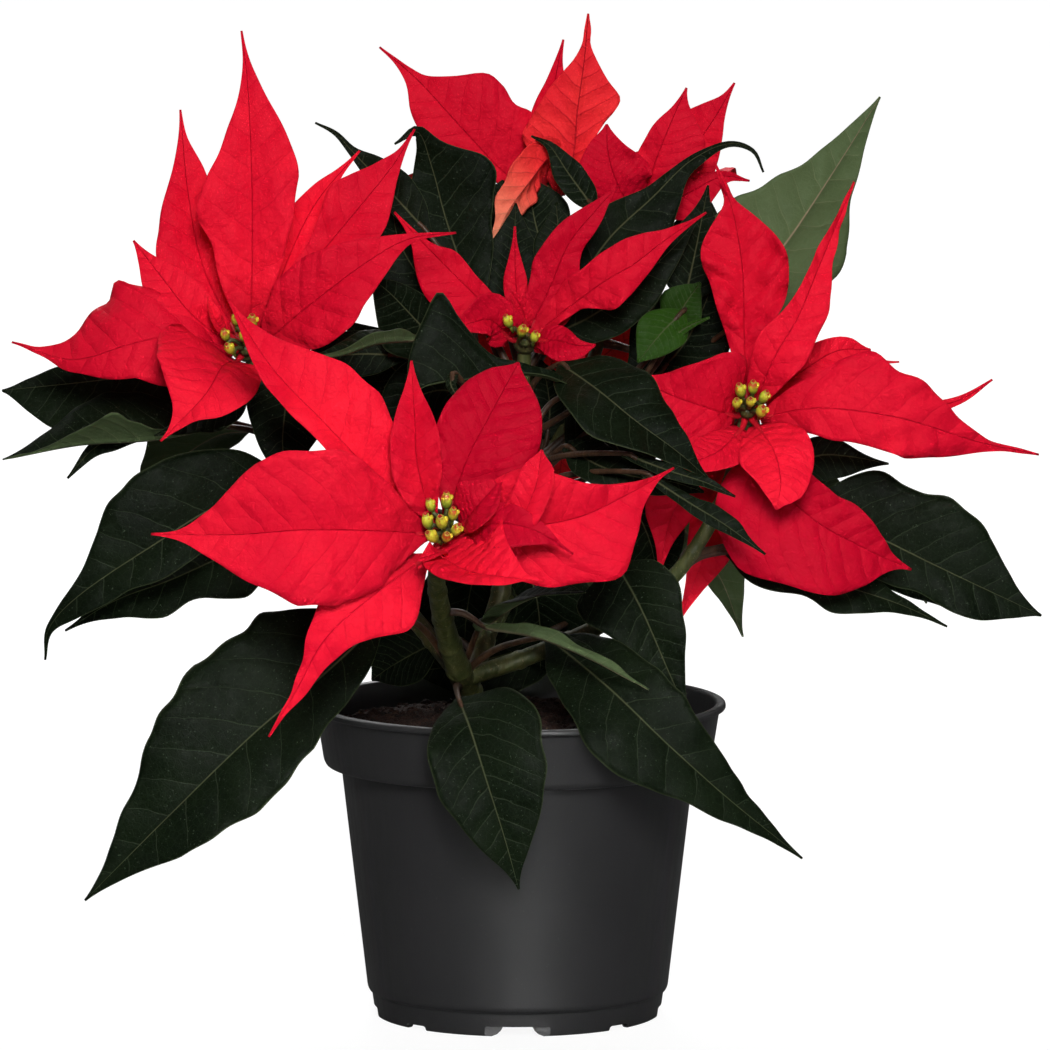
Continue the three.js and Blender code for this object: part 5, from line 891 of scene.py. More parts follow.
def vein_group():
    """Where a blade's rib, side veins and fine net run, and the relief that they raise, in millimetres."""
    group = bpy.data.node_groups.new("blade veins", "ShaderNodeTree")
    for name in ("Rib width", "Vein width"):
        group.interface.new_socket(name, in_out="INPUT", socket_type="NodeSocketFloat")
    for name in ("Rib", "Side veins", "Net", "Relief", "Along", "Under", "Share", "Age", "Tint"):
        group.interface.new_socket(name, in_out="OUTPUT", socket_type="NodeSocketFloat")
    given = node(group, "NodeGroupInput").outputs
    place = node(group, "ShaderNodeAttribute", attribute_name="vein_place").outputs["Vector"]
    nature = node(group, "ShaderNodeAttribute", attribute_name="blade").outputs["Vector"]
    growth_and_shade = node(group, "ShaderNodeAttribute", attribute_name="growth_and_shade").outputs["Vector"]
    aside, run, share = node(group, "ShaderNodeSeparateXYZ", {0: place}).outputs
    length, under, _ = node(group, "ShaderNodeSeparateXYZ", {0: nature}).outputs
    age_and_shade, tint, spacing = node(group, "ShaderNodeSeparateXYZ", {0: growth_and_shade}).outputs
    shift = node(group, "ShaderNodeVectorMath", {0: place, 1: nature}, operation="ADD").outputs[0]
    along = maths(group, "DIVIDE", run, length)

    # the side veins: how far along the rib a place's own vein left it, and how far off that vein it is
    drift = times(group, maths(group, "SUBTRACT", noise(group, shift, 0.11, 2), 0.5), 3.2)
    out = maths(group, "ABSOLUTE", aside)
    curl = times(group, times(group, out, out), VEIN_CURL)
    lead = maths(group, "ADD", times(group, out, VEIN_SLANT), curl)
    phase = maths(group, "DIVIDE", maths(group, "SUBTRACT", maths(group, "ADD", run, drift), lead), spacing)
    stagger = times(group, maths(group, "GREATER_THAN", aside, 0.0), VEIN_STAGGER)
    phase = maths(group, "FRACT", maths(group, "ADD", maths(group, "ADD", phase, stagger), 8.0))
    off = times(group, maths(group, "ABSOLUTE", maths(group, "SUBTRACT", phase, 0.5)), spacing)
    thin = times(group, given["Vein width"], maths(group, "SUBTRACT", 1.1, times(group, share, 0.8)))
    side = node(group, "ShaderNodeMapRange", {"Value": off, "From Min": thin, "From Max": 0.0},
        interpolation_type="SMOOTHSTEP").outputs[0]
    side = times(group, side, graded(group, share, 1.0, 0.9))

    # the rib, which thins toward the tip, and the net of fine veins
    rib_width = times(group, given["Rib width"], maths(group, "SUBTRACT", 1.15, along))
    rib = node(group, "ShaderNodeMapRange", {"Value": out, "From Min": rib_width, "From Max": 0.0},
        interpolation_type="SMOOTHSTEP").outputs[0]
    coarse, fine = (node(group, "ShaderNodeTexVoronoi", {"Vector": shift, "Scale": scale, "Randomness": 0.9},
        feature="DISTANCE_TO_EDGE").outputs["Distance"] for scale in (0.42, 1.1))
    net = maths(group, "MAXIMUM", graded(group, coarse, 0.1, 0.0), graded(group, fine, 0.13, 0.0, 0, 0.5))

    groove = graded(group, off, 2.2, 0.0)
    raised = maths(group, "ADD", times(group, groove, 0.16), times(group, side, 0.08))
    for part, height in ((net, 0.045), (rib, 0.2), (noise(group, shift, 0.35, 3), 0.35)):
        raised = maths(group, "ADD", raised, times(group, part, height))
    flip = maths(group, "SUBTRACT", times(group, under, 2.0), 1.0)
    node(group, "NodeGroupOutput", {"Rib": rib, "Side veins": side, "Net": net,
        "Relief": times(group, raised, flip), "Along": along, "Under": under, "Share": share, "Age": age_and_shade,
        "Tint": tint})
    return group


def veined(tree, veins, base, net, side, rib):
    """A blade's colour with its net, side veins and rib drawn over it: a strength and a colour for each."""
    for name, (strength, colour) in (("Net", net), ("Side veins", side), ("Rib", rib)):
        base = mixed(tree, times(tree, veins[name], strength), base, colour)
    return base


blade_veins = vein_group()

leaf_green, tree, shader = material("leaf", roughness=0.5, Specular_IOR_Level=0.04)
place = node(tree, "ShaderNodeTexCoord").outputs["Object"]
widths = {"Rib width": 0.6, "Vein width": 0.36}
veins = node(tree, "ShaderNodeGroup", widths, node_tree=blade_veins).outputs
cloud = graded(tree, noise(tree, place, 55), 0.2, 0.8)
upper = mixed(tree, cloud, (0.0016, 0.0034, 0.0012), (0.0040, 0.0074, 0.0026))
upper = mixed(tree, veins["Age"], (0.017, 0.052, 0.004), upper)
upper = veined(tree, veins, upper, net=(0.07, (0.04, 0.060, 0.035)), side=(0.22, (0.075, 0.095, 0.055)),
    rib=(0.62, (0.095, 0.100, 0.050)))
lower = mixed(tree, cloud, (0.058, 0.086, 0.034), (0.080, 0.115, 0.050))
lower = veined(tree, veins, lower, net=(0.2, (0.10, 0.14, 0.07)), side=(0.5, (0.14, 0.16, 0.08)),
    rib=(1.0, (0.24, 0.19, 0.12)))
green = mixed(tree, veins["Under"], upper, lower)
margin = graded(tree, veins["Share"], 0.965, 1.0, 0, 0.55)
green = mixed(tree, margin, green, (0.050, 0.062, 0.030))
dust = graded(tree, noise(tree, place, 1100, 3, 0.75), 0.62, 0.74, 0, 0.5)
green = mixed(tree, dust, green, (0.10, 0.13, 0.085))
tree.links.new(green, shader.inputs["Base Color"])
tree.links.new(graded(tree, noise(tree, place, 240), 0.3, 0.7, 0.44, 0.58), shader.inputs["Roughness"])
tree.links.new(relief(tree, veins["Relief"], 0.0007), shader.inputs["Normal"])

STALK_PLACES = 26


def stalk_line(stalk, rib, radius, red):
    """The round stalk of a leaf or bract, from its stem, where it swells, into the root of its blade."""
    root = np.array(rib[0], float)
    ahead = unit(np.array(rib[1], float) - root)
    places, _, _ = line_through([*stalk, tuple(root), tuple(root + ahead * 5)], STALK_PLACES)
    t = np.linspace(0, 1, STALK_PLACES)
    return places, radius * (1 - 0.45 * t) * (1 + 0.4 * np.exp(-t / 0.05)), red


LEAF_GROUPS = (
    ("front", FRONT_LEAVES, "stem_centre"), ("centre", CENTRE_LEAVES, "stem_centre"),
    ("left", LEFT_LEAVES, "stem_left"), ("right", RIGHT_LEAVES, "stem_right"),
)
leaf_number = 0
for side, leaves, solid in LEAF_GROUPS:
    made = []
    for leaf in leaves:
        leaf_number += 1
        made.append(blade(**{"age_and_shade": 1.0, **leaf}, number=leaf_number))
    blade_piece(f"leaves_{side}", made, leaf_green, solid)
    lines = [stalk_line(leaf["stalk"], leaf["rib"], radius=1.35, red=0.75) for leaf in leaves]
    stalk_piece(f"leaf_stalks_{side}", lines, stem_skin, solid, sides=12)

# ---- The red bracts --------------------------------------------------------------------------------------
# What look like petals are bracts: leaves turned red round the top of a stem. They are thinner and softer
# than the leaves, with the same veins, and scarlet, with painted shade that deepens them to dark red toward
# the claw and on the bracts that lie in shade. The undersides are salmon. Their claws stand close together
# in the hub at the stem's end.

# Each bract is given as a leaf is, without a stalk; tint pales it toward its tip. Its age is painted shade:
# high on bracts that lie in shade or behind others, which it darkens to deep red, and low on lit ones.
LEFT_BRACTS = [
    # tall back bract
    dict(rib=[[-87, -15, 220], [-86, -19, 245], [-86, -18, 272], [-87.3, -14, 301], [-89.5, -6, 318.5]],
        face=[0, -1, 0.15], left=[2, 6, 10.5, 13, 17.5, 16, 11, 6.5, 2.8, 0.8],
        right=[2, 5, 8, 11, 13.5, 15, 14.5, 10, 4.8, 1.5], fold=[14, 16], wave=0.8),
    # beside it
    dict(rib=[[-91, -12, 221], [-102, -8, 243], [-107, -3, 267], [-109.5, 4, 292.5]], face=[0.2, -1, 0.1],
        left=[2, 8, 13, 14.5, 12, 8.7, 4.2, 1.5], right=[2, 5, 7, 9, 10, 8.5, 6, 1.7], fold=[12, 10]),
    # upper left, short
    dict(rib=[[-92, -16, 218], [-105, -22, 229], [-115, -19, 241], [-124, -13, 252]], face=[0.1, -1, 0.3],
        left=[2, 6, 9, 9, 7.7, 3.6], right=[2, 6, 8, 8.5, 6, 2.2], fold=[10, 14]),
    # long left
    dict(rib=[[-92, -17, 217], [-107, -27, 223], [-123, -31, 221], [-143, -25, 215], [-163, -14, 219.5]],
        face=[0, -0.75, 0.66], left=[2, 6, 11, 16, 14, 11, 8, 4, 1.5, 0.7],
        right=[2, 6, 9.5, 12, 14, 15.5, 17, 19, 21, 23.5, 18.5, 17, 15.5, 13, 9, 5.5, 3, 1.4, 0.8],
        fold=[-35, 8], wave=0.8, age_and_shade=0.5),
    # hanging toward the front
    dict(rib=[[-91, -20, 214], [-95, -37, 214], [-100.5, -51, 206], [-114, -56, 192.5]],
        face=[0.1, -0.75, 0.7], left=[4, 10, 12, 13.5, 14.5, 15, 13, 8, 3.4, 1.4],
        right=[3, 16, 21, 22, 21.5, 20.5, 19, 14.5, 5.5, 1.4], fold=[10, 14], wave=0.5, age_and_shade=0.25),
    # upper right, inner
    dict(rib=[[-84, -13, 221], [-75, -7, 245], [-66, -2, 263], [-52, 2, 279.5]], face=[0, -1, 0.1],
        left=[2, 5, 7, 8, 7.5, 6, 4, 1.5], right=[2, 4, 6, 7, 6, 5, 3, 1], fold=[14, 10]),
    # upper right, broad
    dict(rib=[[-83, -16, 220], [-68, -16, 243], [-52, -13, 262.5], [-41, -9, 276], [-34.3, -5, 287]],
        face=[-0.1, -1, 0.1], left=[2, 3.5, 4.5, 5, 5.5, 8, 11.5, 9, 5, 1.5],
        right=[2, 5, 9, 11, 12, 12.5, 12, 8.5, 4, 1.2], fold=[12, 14]),
    # right, broad
    dict(rib=[[-83, -20, 219], [-68, -30, 232.5], [-50, -34, 246.5], [-36, -30, 254], [-21, -24, 255.5]],
        face=[0, -1, 0.3], left=[2, 7, 11, 13.5, 13.5, 11, 8, 4.8, 1.8, 0.8],
        right=[2, 7, 12, 14.5, 14.5, 11.5, 8, 4.5, 1.6, 0.8], fold=[10, 12], wave=0.7, age_and_shade=0.5),
    # small inner curl
    dict(rib=[[-93, -18, 222], [-98, -24, 228], [-100, -23, 235]], face=[0.5, -0.9, 0.1],
        left=[1.5, 2.5, 2], right=[1.5, 3, 2.5], fold=25),
    # behind
    dict(rib=[[-88, -9, 218], [-94, 14, 232], [-102, 38, 238], [-108, 56, 232]], face=[0, 0.1, 1],
        left=[2, 7, 11, 13, 12, 9, 5, 2]),
    dict(rib=[[-85, -9, 218], [-74, 12, 232], [-62, 32, 238], [-54, 50, 232]], face=[0, 0.1, 1],
        left=[2, 7, 10, 12, 11, 8, 5, 2]),
]

FRONT_BRACTS = [
    # up to the left
    dict(rib=[[-29, -84, 169], [-44, -86, 183], [-61, -86, 201], [-78, -82, 218.5], [-92, -74, 239]],
        face=[0.1, -1, 0.15], left=[2, 4, 6, 7, 7, 7, 7, 6.5, 4.5, 2],
        right=[2, 7, 12, 15, 18, 18.5, 17, 12, 7, 2.5], fold=[35, 8]),
    # broad left
    dict(rib=[[-29, -84, 166.5], [-48, -96, 169], [-68, -102, 170], [-90, -102, 168.5], [-115.5, -96, 168]],
        face=[0, -1, 0.1], left=[2, 9, 17, 22, 24, 23, 19, 13, 6.7, 2],
        right=[2, 9, 16, 22.5, 25.5, 25.5, 22.5, 16, 7.5, 1.6], fold=[8, 10], wave=0.6),
    # lower left, drooping
    dict(rib=[[-30, -84, 159], [-46, -97, 149], [-61, -102, 136], [-70, -102, 120], [-79, -98, 104.5]],
        face=[0, -0.8, 0.6], left=[2, 8, 14, 14, 10, 7.5, 6, 4.2, 2.5, 1],
        right=[2, 9, 13, 14, 12, 8, 4.5, 2.4, 1.2, 0.7], fold=[-25, 10]),
    # upright, folded
    dict(rib=[[-28, -86, 171], [-32.5, -89, 188], [-33.5, -88, 204], [-34.5, -84, 221]], face=[0, -1, 0.1],
        left=[2, 7, 9, 9, 7, 3], right=[2, 5, 8.5, 8.5, 6.5, 2.5], fold=28),
    # up, broad
    dict(rib=[[-23, -83, 172], [-17, -82, 190], [-9, -78, 205], [-1, -70, 219]], face=[0, -1, 0.2],
        left=[2, 6, 10, 13, 14, 13, 11.5, 7], right=[2, 8, 13, 17, 19, 18.5, 15, 8], fold=[8, 12], wave=0.8,
        quilt=0.3, crumple=1.1, age_and_shade=1.0),
    # right
    dict(rib=[[-19, -86, 168], [0, -95, 170], [18, -97, 173.5], [34, -92, 180.5], [47.5, -84, 187.3]],
        face=[0, -1, 0.1], left=[2, 8, 16, 20, 19, 15, 10, 6, 2.8, 1],
        right=[2, 8, 14, 18, 20, 21, 21, 13, 5.5, 1.3], fold=[22, 8], wave=0.6, crumple=0.9, age_and_shade=0.4),
    # lower right, cupped toward the front
    dict(rib=[[-27, -89, 161], [-17, -105, 157.5], [-6, -115, 157], [7, -118, 156]], face=[0, -0.85, 0.5],
        left=[4, 15, 22.5, 24.5, 23.5, 18.5, 12.5, 7, 1.5], right=[3, 8, 10, 10.5, 9.5, 8, 6, 3.5, 1],
        fold=[10, 34], crumple=0.9, lobes=0.02, age_and_shade=0.1),
    # pointed, half behind the cupped one
    dict(rib=[[-19, -89, 167], [-8, -102, 172], [4, -107, 170.5], [15.9, -106, 163]], face=[0, -0.9, 0.3],
        left=[2, 4, 6, 6.5, 5.5, 3.5, 1], right=[2, 5, 8, 9, 8, 5, 1], fold=[12, 16], age_and_shade=0.9),
    # small inner bracts
    dict(rib=[[-24, -89, 162], [-28, -97, 161.5], [-33.5, -99, 160]], face=[0, -0.6, 0.8],
        left=[1.5, 3.2, 2.5], fold=10),
    dict(rib=[[-19, -90, 169.4], [-13.7, -98, 177], [-6, -97, 185.5]], face=[-0.5, -0.85, 0.2],
        left=[1.5, 6, 9, 9, 5], right=[1.5, 5, 8, 8.5, 5], fold=[16, 26], crumple=1.1, age_and_shade=0.9),
    # tall and narrow, beside them
    dict(rib=[[-16, -91, 167.4], [-2.2, -102, 172], [4, -104.5, 183], [6.2, -101, 195]],
        face=[-0.2, -0.9, 0.1], left=[1.5, 3, 5, 6, 6.5, 6.5, 5.5], right=[1.5, 3, 4.5, 5.5, 6, 6, 5.5],
        fold=[20, 24], crumple=0.7, age_and_shade=0.35),
]

RIGHT_BRACTS = [
    # left
    dict(rib=[[68, -20, 196.5], [60, -27, 199.5], [49, -29, 203.5], [39, -26, 207.5], [28.7, -20, 210.5]],
        face=[0, -1, 0.1], left=[3, 7, 10, 13, 16, 15.5, 13, 8.5, 4.2, 1.6],
        right=[3, 17, 20.5, 18.5, 14.5, 11, 7, 3.7, 2, 1], fold=[8, 12], wave=0.5, age_and_shade=0.6),
    # up to the right, twisted
    dict(rib=[[74, -19, 199], [80, -26, 215], [88, -25, 229], [95, -18, 245], [106, -9, 270.5]],
        face=[-0.3, -1, 0.2], tip_face=[0.5, -0.9, 0], left=[2, 5, 7, 8, 5.5, 4, 3.2, 3, 2, 1],
        right=[2, 5, 8, 10, 8.5, 8, 5.5, 3.3, 2, 1], fold=14),
    # upright, crinkled
    dict(rib=[[72, -13, 201], [71, -11, 222], [70.5, -9, 242], [67.3, -7, 261], [62, -4, 275.5]],
        face=[0, -1, 0.1], left=[2, 3, 4, 5.5, 7.5, 9.5, 11.5, 13, 12.5, 8, 2.2, 1.2],
        right=[2, 3, 4, 7, 10.5, 13.5, 15, 15, 12.5, 7, 2, 1.2], fold=14, wave=2, waves=3, quilt=0.9,
        crumple=2.6, age_and_shade=0.55),
    # long right
    dict(rib=[[76, -20, 196], [95, -30, 200], [120, -31, 197], [145, -22, 188.5], [165.5, -11, 183]],
        face=[0, -1, 0.25], left=[2, 5, 8, 11.5, 16.5, 20, 15, 14, 11, 7, 4, 2, 1.1, 0.8],
        right=[2, 4, 7, 9, 10, 10.5, 11, 12, 11, 9, 6, 3, 1.3, 0.8], fold=[6, -14]),
    # between them, dark
    dict(rib=[[77, -12, 200.5], [90, -7, 209.5], [101, -3, 215.5], [112, 1, 215.5]], face=[0, -1, 0.2],
        left=[2, 4, 5, 5.5, 5, 3.5], right=[2, 4, 6, 7, 6, 3], fold=10),
    # long right, behind
    dict(rib=[[77, -9, 196], [103, 6, 197], [127, 12, 195], [141, 12, 198], [151.5, 9, 205]],
        face=[0, -1, 0.2], left=[2, 6, 9, 11, 8, 4.5, 2.2, 1.2], fold=10),
    dict(rib=[[76, -7, 201], [97, 14, 207], [110, 21, 209], [122, 22, 209.3]], face=[0, -0.6, 0.8],
        left=[2, 5, 7, 6, 3.5, 1.5], fold=10),
    # bottom, two hanging to the front
    dict(rib=[[75, -23, 193.5], [80, -36, 187], [82, -44, 178], [80.5, -46, 169.5]], face=[0.1, -0.9, 0.4],
        left=[3, 8, 11, 12, 11.5, 10, 7], right=[3, 7, 10, 12, 12.5, 10.5, 6], fold=[8, 12], crumple=0.9),
    dict(rib=[[70, -23, 192.5], [63, -34, 187], [56, -39, 184.5], [49.8, -41, 183]], face=[-0.2, -0.9, 0.4],
        left=[3, 8, 9.5, 9, 7.5, 5.5, 3.5], right=[3, 4.5, 6, 7.5, 8, 6.5, 3.5], fold=8),
    # lower right, big and waved
    dict(rib=[[77, -15, 190], [82, -24, 176], [92, -30, 165], [108, -28, 155.5], [124.5, -20, 147]],
        face=[0, -1, 0.2], left=[2, 5, 8, 10, 10.5, 11, 11, 9, 5.5, 2],
        right=[2, 10, 20, 26, 27, 24, 21, 18, 11, 3], fold=[8, 10], wave=1.6, waves=3, age_and_shade=0.9),
    # hanging behind, in shade
    dict(rib=[[68, -7.5, 191], [57, 3, 177], [48, 8, 160], [44, 8, 141.5]], face=[0, -1, 0.1],
        left=[2, 6, 8, 8, 6, 2.5], right=[2, 7, 11, 12.5, 9, 3]),
    dict(rib=[[71, -5, 191], [67, 9, 172], [60, 13, 150], [50.5, 12, 125.5]], face=[0, -1, 0.1],
        left=[2, 7, 9, 9, 8, 3.5], right=[2, 6, 9, 9, 6.5, 2.5]),
]

CENTRE_BRACTS = [
    # right
    dict(rib=[[3, -2, 219.5], [14, -6, 229], [26, -12, 238.5], [36, -12, 244.5], [46, -8, 251.8],
            [59, -2, 260]], face=[0, -1, 0.2], left=[2, 4, 6, 7.5, 7.6, 8.6, 8.6, 6.3, 3, 1],
        right=[2, 2, 2.5, 3.5, 9, 8.4, 5.7, 3.4, 1.7, 0.8], fold=10, wave=0.5),
    # up
    dict(rib=[[2, -1, 221], [9, -3, 236], [15, -3, 250], [24, -1, 261], [30.5, 1, 268]], face=[0, -1, 0.1],
        left=[2, 4, 6, 7.3, 8.5, 7.6, 6.5, 5, 3.4, 1.5], right=[2, 3, 4.5, 6, 7.5, 6, 5, 4.6, 3.6, 1.7],
        wave=0.4),
    # narrow, upright
    dict(rib=[[-0.5, 1, 221], [-1.7, 3, 232], [-2.2, 5, 243], [-2.3, 7, 254.7]], face=[0, -1, 0.1],
        left=[1.5, 2.5, 3.8, 4, 2.5, 1], right=[1.5, 2.5, 3.3, 3.8, 2.3, 0.8], fold=10),
    # upper left, dark
    dict(rib=[[-2, 1, 220], [-12, 1, 230], [-22, 1, 240], [-32, 3, 250], [-41, 5, 259.5]],
        face=[0, -1, 0.1], left=[2, 6, 9, 11, 12.5, 12, 10, 7, 3, 1.2],
        right=[2, 3, 4, 4.5, 4.8, 5.5, 5.5, 2.5, 1.2, 0.7], fold=[10, 8]),
    # left, cupped toward the front
    dict(rib=[[-4, -3, 219.5], [-10, -9, 226], [-17, -14, 225.5], [-23.5, -15, 223.8]], face=[0, -1, 0.2],
        left=[3, 7, 7, 7, 5, 2], right=[3, 8, 9, 9, 7, 3], fold=25),
    # small one facing the front
    dict(rib=[[1.5, -2, 222.5], [0, -6.5, 229.5], [-4, -9, 236]], face=[0.2, -1, 0.1], left=[1.5, 2.6, 2.4],
        right=[1.5, 3, 2.6]),
    # lower right
    dict(rib=[[5, -4, 218.8], [11, -10, 219.6], [17.5, -15, 218.5], [23.5, -16, 218.8]],
        face=[0, -0.9, 0.4], left=[2, 5, 5.5, 4.5, 3, 1.5], right=[2, 4, 6, 7, 6.5, 4], fold=10),
    # right, small and narrow
    dict(rib=[[4, 1, 220], [13, 3, 227], [18.5, 3, 237]], face=[0, -1, 0.2], left=[1.5, 2.5, 2.5, 1.5],
        right=[1.5, 3, 3, 1.5]),
    # hanging, in shade
    dict(rib=[[4, -1, 217], [14, 2, 215], [19.5, 1, 207], [16, -1, 197.5]], face=[0.3, -1, 0.1],
        left=[2, 3, 3, 3, 3, 2], right=[2, 3, 3, 3, 4, 3]),
]

BACK_TOP_BRACTS = [
    # left
    dict(rib=[[6, 58, 259], [-6, 55, 268], [-20, 53, 283], [-34, 56, 298], [-46.5, 60, 308.5]],
        face=[0, -1, 0.1], left=[2, 3, 4, 4, 8, 11.5, 11, 8.5, 3.5, 1],
        right=[2, 8, 13, 17, 20.5, 18.5, 19.5, 18.5, 10, 3.5, 1.4, 0.8], fold=8, wave=0.8, quilt=0.3,
        crumple=0.9),
    # upright, its underside to the front
    dict(rib=[[12, 53, 261], [16.5, 47, 273], [18, 45, 289], [20.3, 47, 306], [21.5, 52, 320]],
        face=[0, 1, 0.1], left=[2, 3.5, 4.5, 5.5, 6, 9, 12.5, 13.5, 8.5, 4.5, 1.6, 1.4],
        right=[2, 8, 13, 16.5, 17.5, 15, 12.5, 10, 7, 3.5, 1.3, 0.9], fold=10, quilt=0.25, crumple=0.7),
    # behind it
    dict(rib=[[10, 65, 262], [9, 67, 280], [11, 67, 298], [13.5, 67, 310.5]], face=[0, -1, 0.1],
        left=[2, 5, 7, 7, 5.5, 3, 1.3], right=[2, 5, 7, 8, 6, 3.5, 1.3], fold=10, age_and_shade=0.6),
    # bent over to the front
    dict(rib=[[7, 55, 264], [8, 44, 273.5], [3, 36, 268], [-5, 32, 257], [-10.5, 30, 244]],
        face=[-0.4, 0.6, 0.8], tip_face=[-0.6, 0.7, -0.3], left=[2, 6, 8, 8.5, 6, 2.5],
        right=[2, 6, 8.5, 9, 7, 3], fold=14, tint=0.42),
    # behind
    dict(rib=[[8, 66, 260], [4, 88, 272], [0, 112, 276]], face=[0, 0.2, 1], left=[2, 8, 12, 11, 6]),
    dict(rib=[[13, 66, 260], [28, 84, 268], [42, 102, 266]], face=[0, 0.2, 1], left=[2, 8, 11, 10, 5]),
    dict(rib=[[4, 63, 259], [-18, 78, 266], [-42, 90, 262]], face=[0, 0.2, 1], left=[2, 8, 11, 10, 5]),
]

BACK_RIGHT_BRACTS = [
    # left, crinkled and dark
    dict(rib=[[36, 48, 256], [31, 44, 265], [28, 44, 275], [27.5, 46, 284.5]], face=[0, -1, 0.1],
        left=[2, 9, 12, 11, 6], right=[2, 9, 12, 10, 5], wave=1.4, crumple=1.2, age_and_shade=0.8),
    # up
    dict(rib=[[39, 50, 258], [43, 46, 271], [48, 46, 284], [53.5, 50, 296]], face=[0, -1, 0.1],
        left=[2, 5, 7, 7, 6.5, 6, 5.5, 4, 2, 0.9], right=[2, 6, 10, 13, 15, 15.5, 14, 11, 6.5, 2.5],
        fold=[12, 10], wave=0.5),
    # up to the right
    dict(rib=[[44.5, 55, 257], [55, 56, 274], [63, 56, 286], [69.3, 58, 297]], face=[0, -1, 0.1],
        left=[2, 6, 10, 12.5, 12, 10, 6.5, 2], right=[2, 7, 10, 10.5, 9, 6, 3, 1.2], fold=[10, 12],
        age_and_shade=0.6),
    # right, dark
    dict(rib=[[43, 48, 256], [54, 44, 262], [65, 44, 267.5], [74, 46, 266]], face=[0, -1, 0.2],
        left=[2, 5, 6, 5, 2.5, 1.2], right=[2, 6, 8, 7, 4, 1.5], fold=10),
    # behind
    dict(rib=[[44, 58, 255], [60, 76, 264], [72, 92, 262]], face=[0, 0.2, 1], left=[2, 8, 11, 10, 5]),
    dict(rib=[[38, 60, 255], [40, 78, 256], [50, 96, 248]], face=[0, 0.2, 1], left=[2, 7, 9, 8, 4]),
]

BACK_BRACTS = [
    # a ring of six, seen from behind
    dict(rib=[[10, 105, 194], [9, 112, 208], [6, 116, 222], [2, 114, 236]], face=[0, 1, 0.1],
        left=[2, 7, 12, 14, 13, 9, 5, 2]),
    dict(rib=[[14, 104, 192], [28, 109, 203], [42, 108, 212], [54, 102, 218]], face=[0, 1, 0.3],
        left=[2, 7, 12, 14, 13, 9, 5, 2]),
    dict(rib=[[14, 105, 188], [30, 111, 186], [46, 111, 180], [60, 106, 172]], face=[0, 1, 0.3],
        left=[2, 7, 13, 15, 14, 10, 5, 2]),
    dict(rib=[[11, 106, 186], [13, 114, 172], [12, 116, 157], [8, 112, 144]], face=[0, 1, 0.3],
        left=[2, 7, 12, 14, 13, 9, 5, 2]),
    dict(rib=[[6, 105, 188], [-8, 111, 181], [-22, 111, 171], [-34, 106, 162]], face=[0, 1, 0.3],
        left=[2, 7, 13, 15, 14, 10, 5, 2]),
    dict(rib=[[6, 104, 192], [-9, 109, 199], [-24, 108, 206], [-38, 102, 211]], face=[0, 1, 0.3],
        left=[2, 7, 12, 14, 13, 9, 5, 2]),
]

# Each bloom: its hub at the stem's end, its bracts, the way it faces, how deep its red is where it isn't
# PLAIN_DEPTH, a deeper red being painted shade on the blooms that stand in shade, and where its cyathia
# stand.
BLOOMS = dict(
    left=dict(hub=(-88, -14, 217), bracts=LEFT_BRACTS, front=(0, -1, 0.25),
        buds=[(-91, -24.5, 228), (-94.5, -25.5, 223), (-93, -27, 218.8), (-86, -24.5, 227),
            (-84, -26, 222.5), (-88.7, -26, 222.8)]),
    front=dict(hub=(-24, -84, 166), bracts=FRONT_BRACTS, front=(0, -0.9, 0.4),
        buds=[(-28.5, -92, 176.5), (-23.5, -92, 178), (-21.5, -94, 174), (-29.5, -92, 171.5),
            (-25, -94, 171.5), (-20.5, -93, 169), (-28, -94, 167), (-23.5, -95, 167)]),
    right=dict(hub=(72, -16, 197), bracts=RIGHT_BRACTS, front=(0, -1, 0.25),
        buds=[(69.5, -28, 205.5), (73.5, -28, 206.5), (77, -28.5, 203.5), (68.3, -28.5, 201.5),
            (72.7, -29, 202), (76.2, -29, 199)]),
    centre=dict(hub=(1, 0, 218), bracts=CENTRE_BRACTS, front=(0, -1, 0.3), depth=0.5,
        buds=[(-4.5, -12, 226), (0, -12.5, 223), (4, -12, 221)]),
    back_top=dict(hub=(9, 60, 260), bracts=BACK_TOP_BRACTS, front=(0, -0.15, 1), depth=0.2,
        buds=[(6.5, 59, 269), (10, 60.5, 269.5), (11.5, 57.5, 269)]),
    back_right=dict(hub=(40, 54, 256), bracts=BACK_RIGHT_BRACTS, front=(0, -0.1, 1), depth=0.3,
        buds=[(38, 53.5, 265), (40.5, 56.5, 265.5), (39.8, 50.6, 266.5)]),
    back=dict(hub=(10, 103, 190), bracts=BACK_BRACTS, front=(0, 1, 0.3),
        buds=[(6.5, 112.5, 195), (13, 112.5, 195.5), (9.5, 113.5, 191)]),
)

bract_red, tree, shader = material("bract", roughness=0.62, Specular_IOR_Level=0.06)
place = node(tree, "ShaderNodeTexCoord").outputs["Object"]
widths = {"Rib width": 0.45, "Vein width": 0.5}
veins = node(tree, "ShaderNodeGroup", widths, node_tree=blade_veins).outputs
cloud = graded(tree, noise(tree, place, 32, 3), 0.32, 0.68)
scarlet = mixed(tree, cloud, (0.86, 0.0105, 0.032), (0.68, 0.0045, 0.024))
# painted shade: the age value darkens a bract toward deep red where it lies in shade or behind others
scarlet = mixed(tree, veins["Age"], scarlet, (0.40, 0.0005, 0.0150))
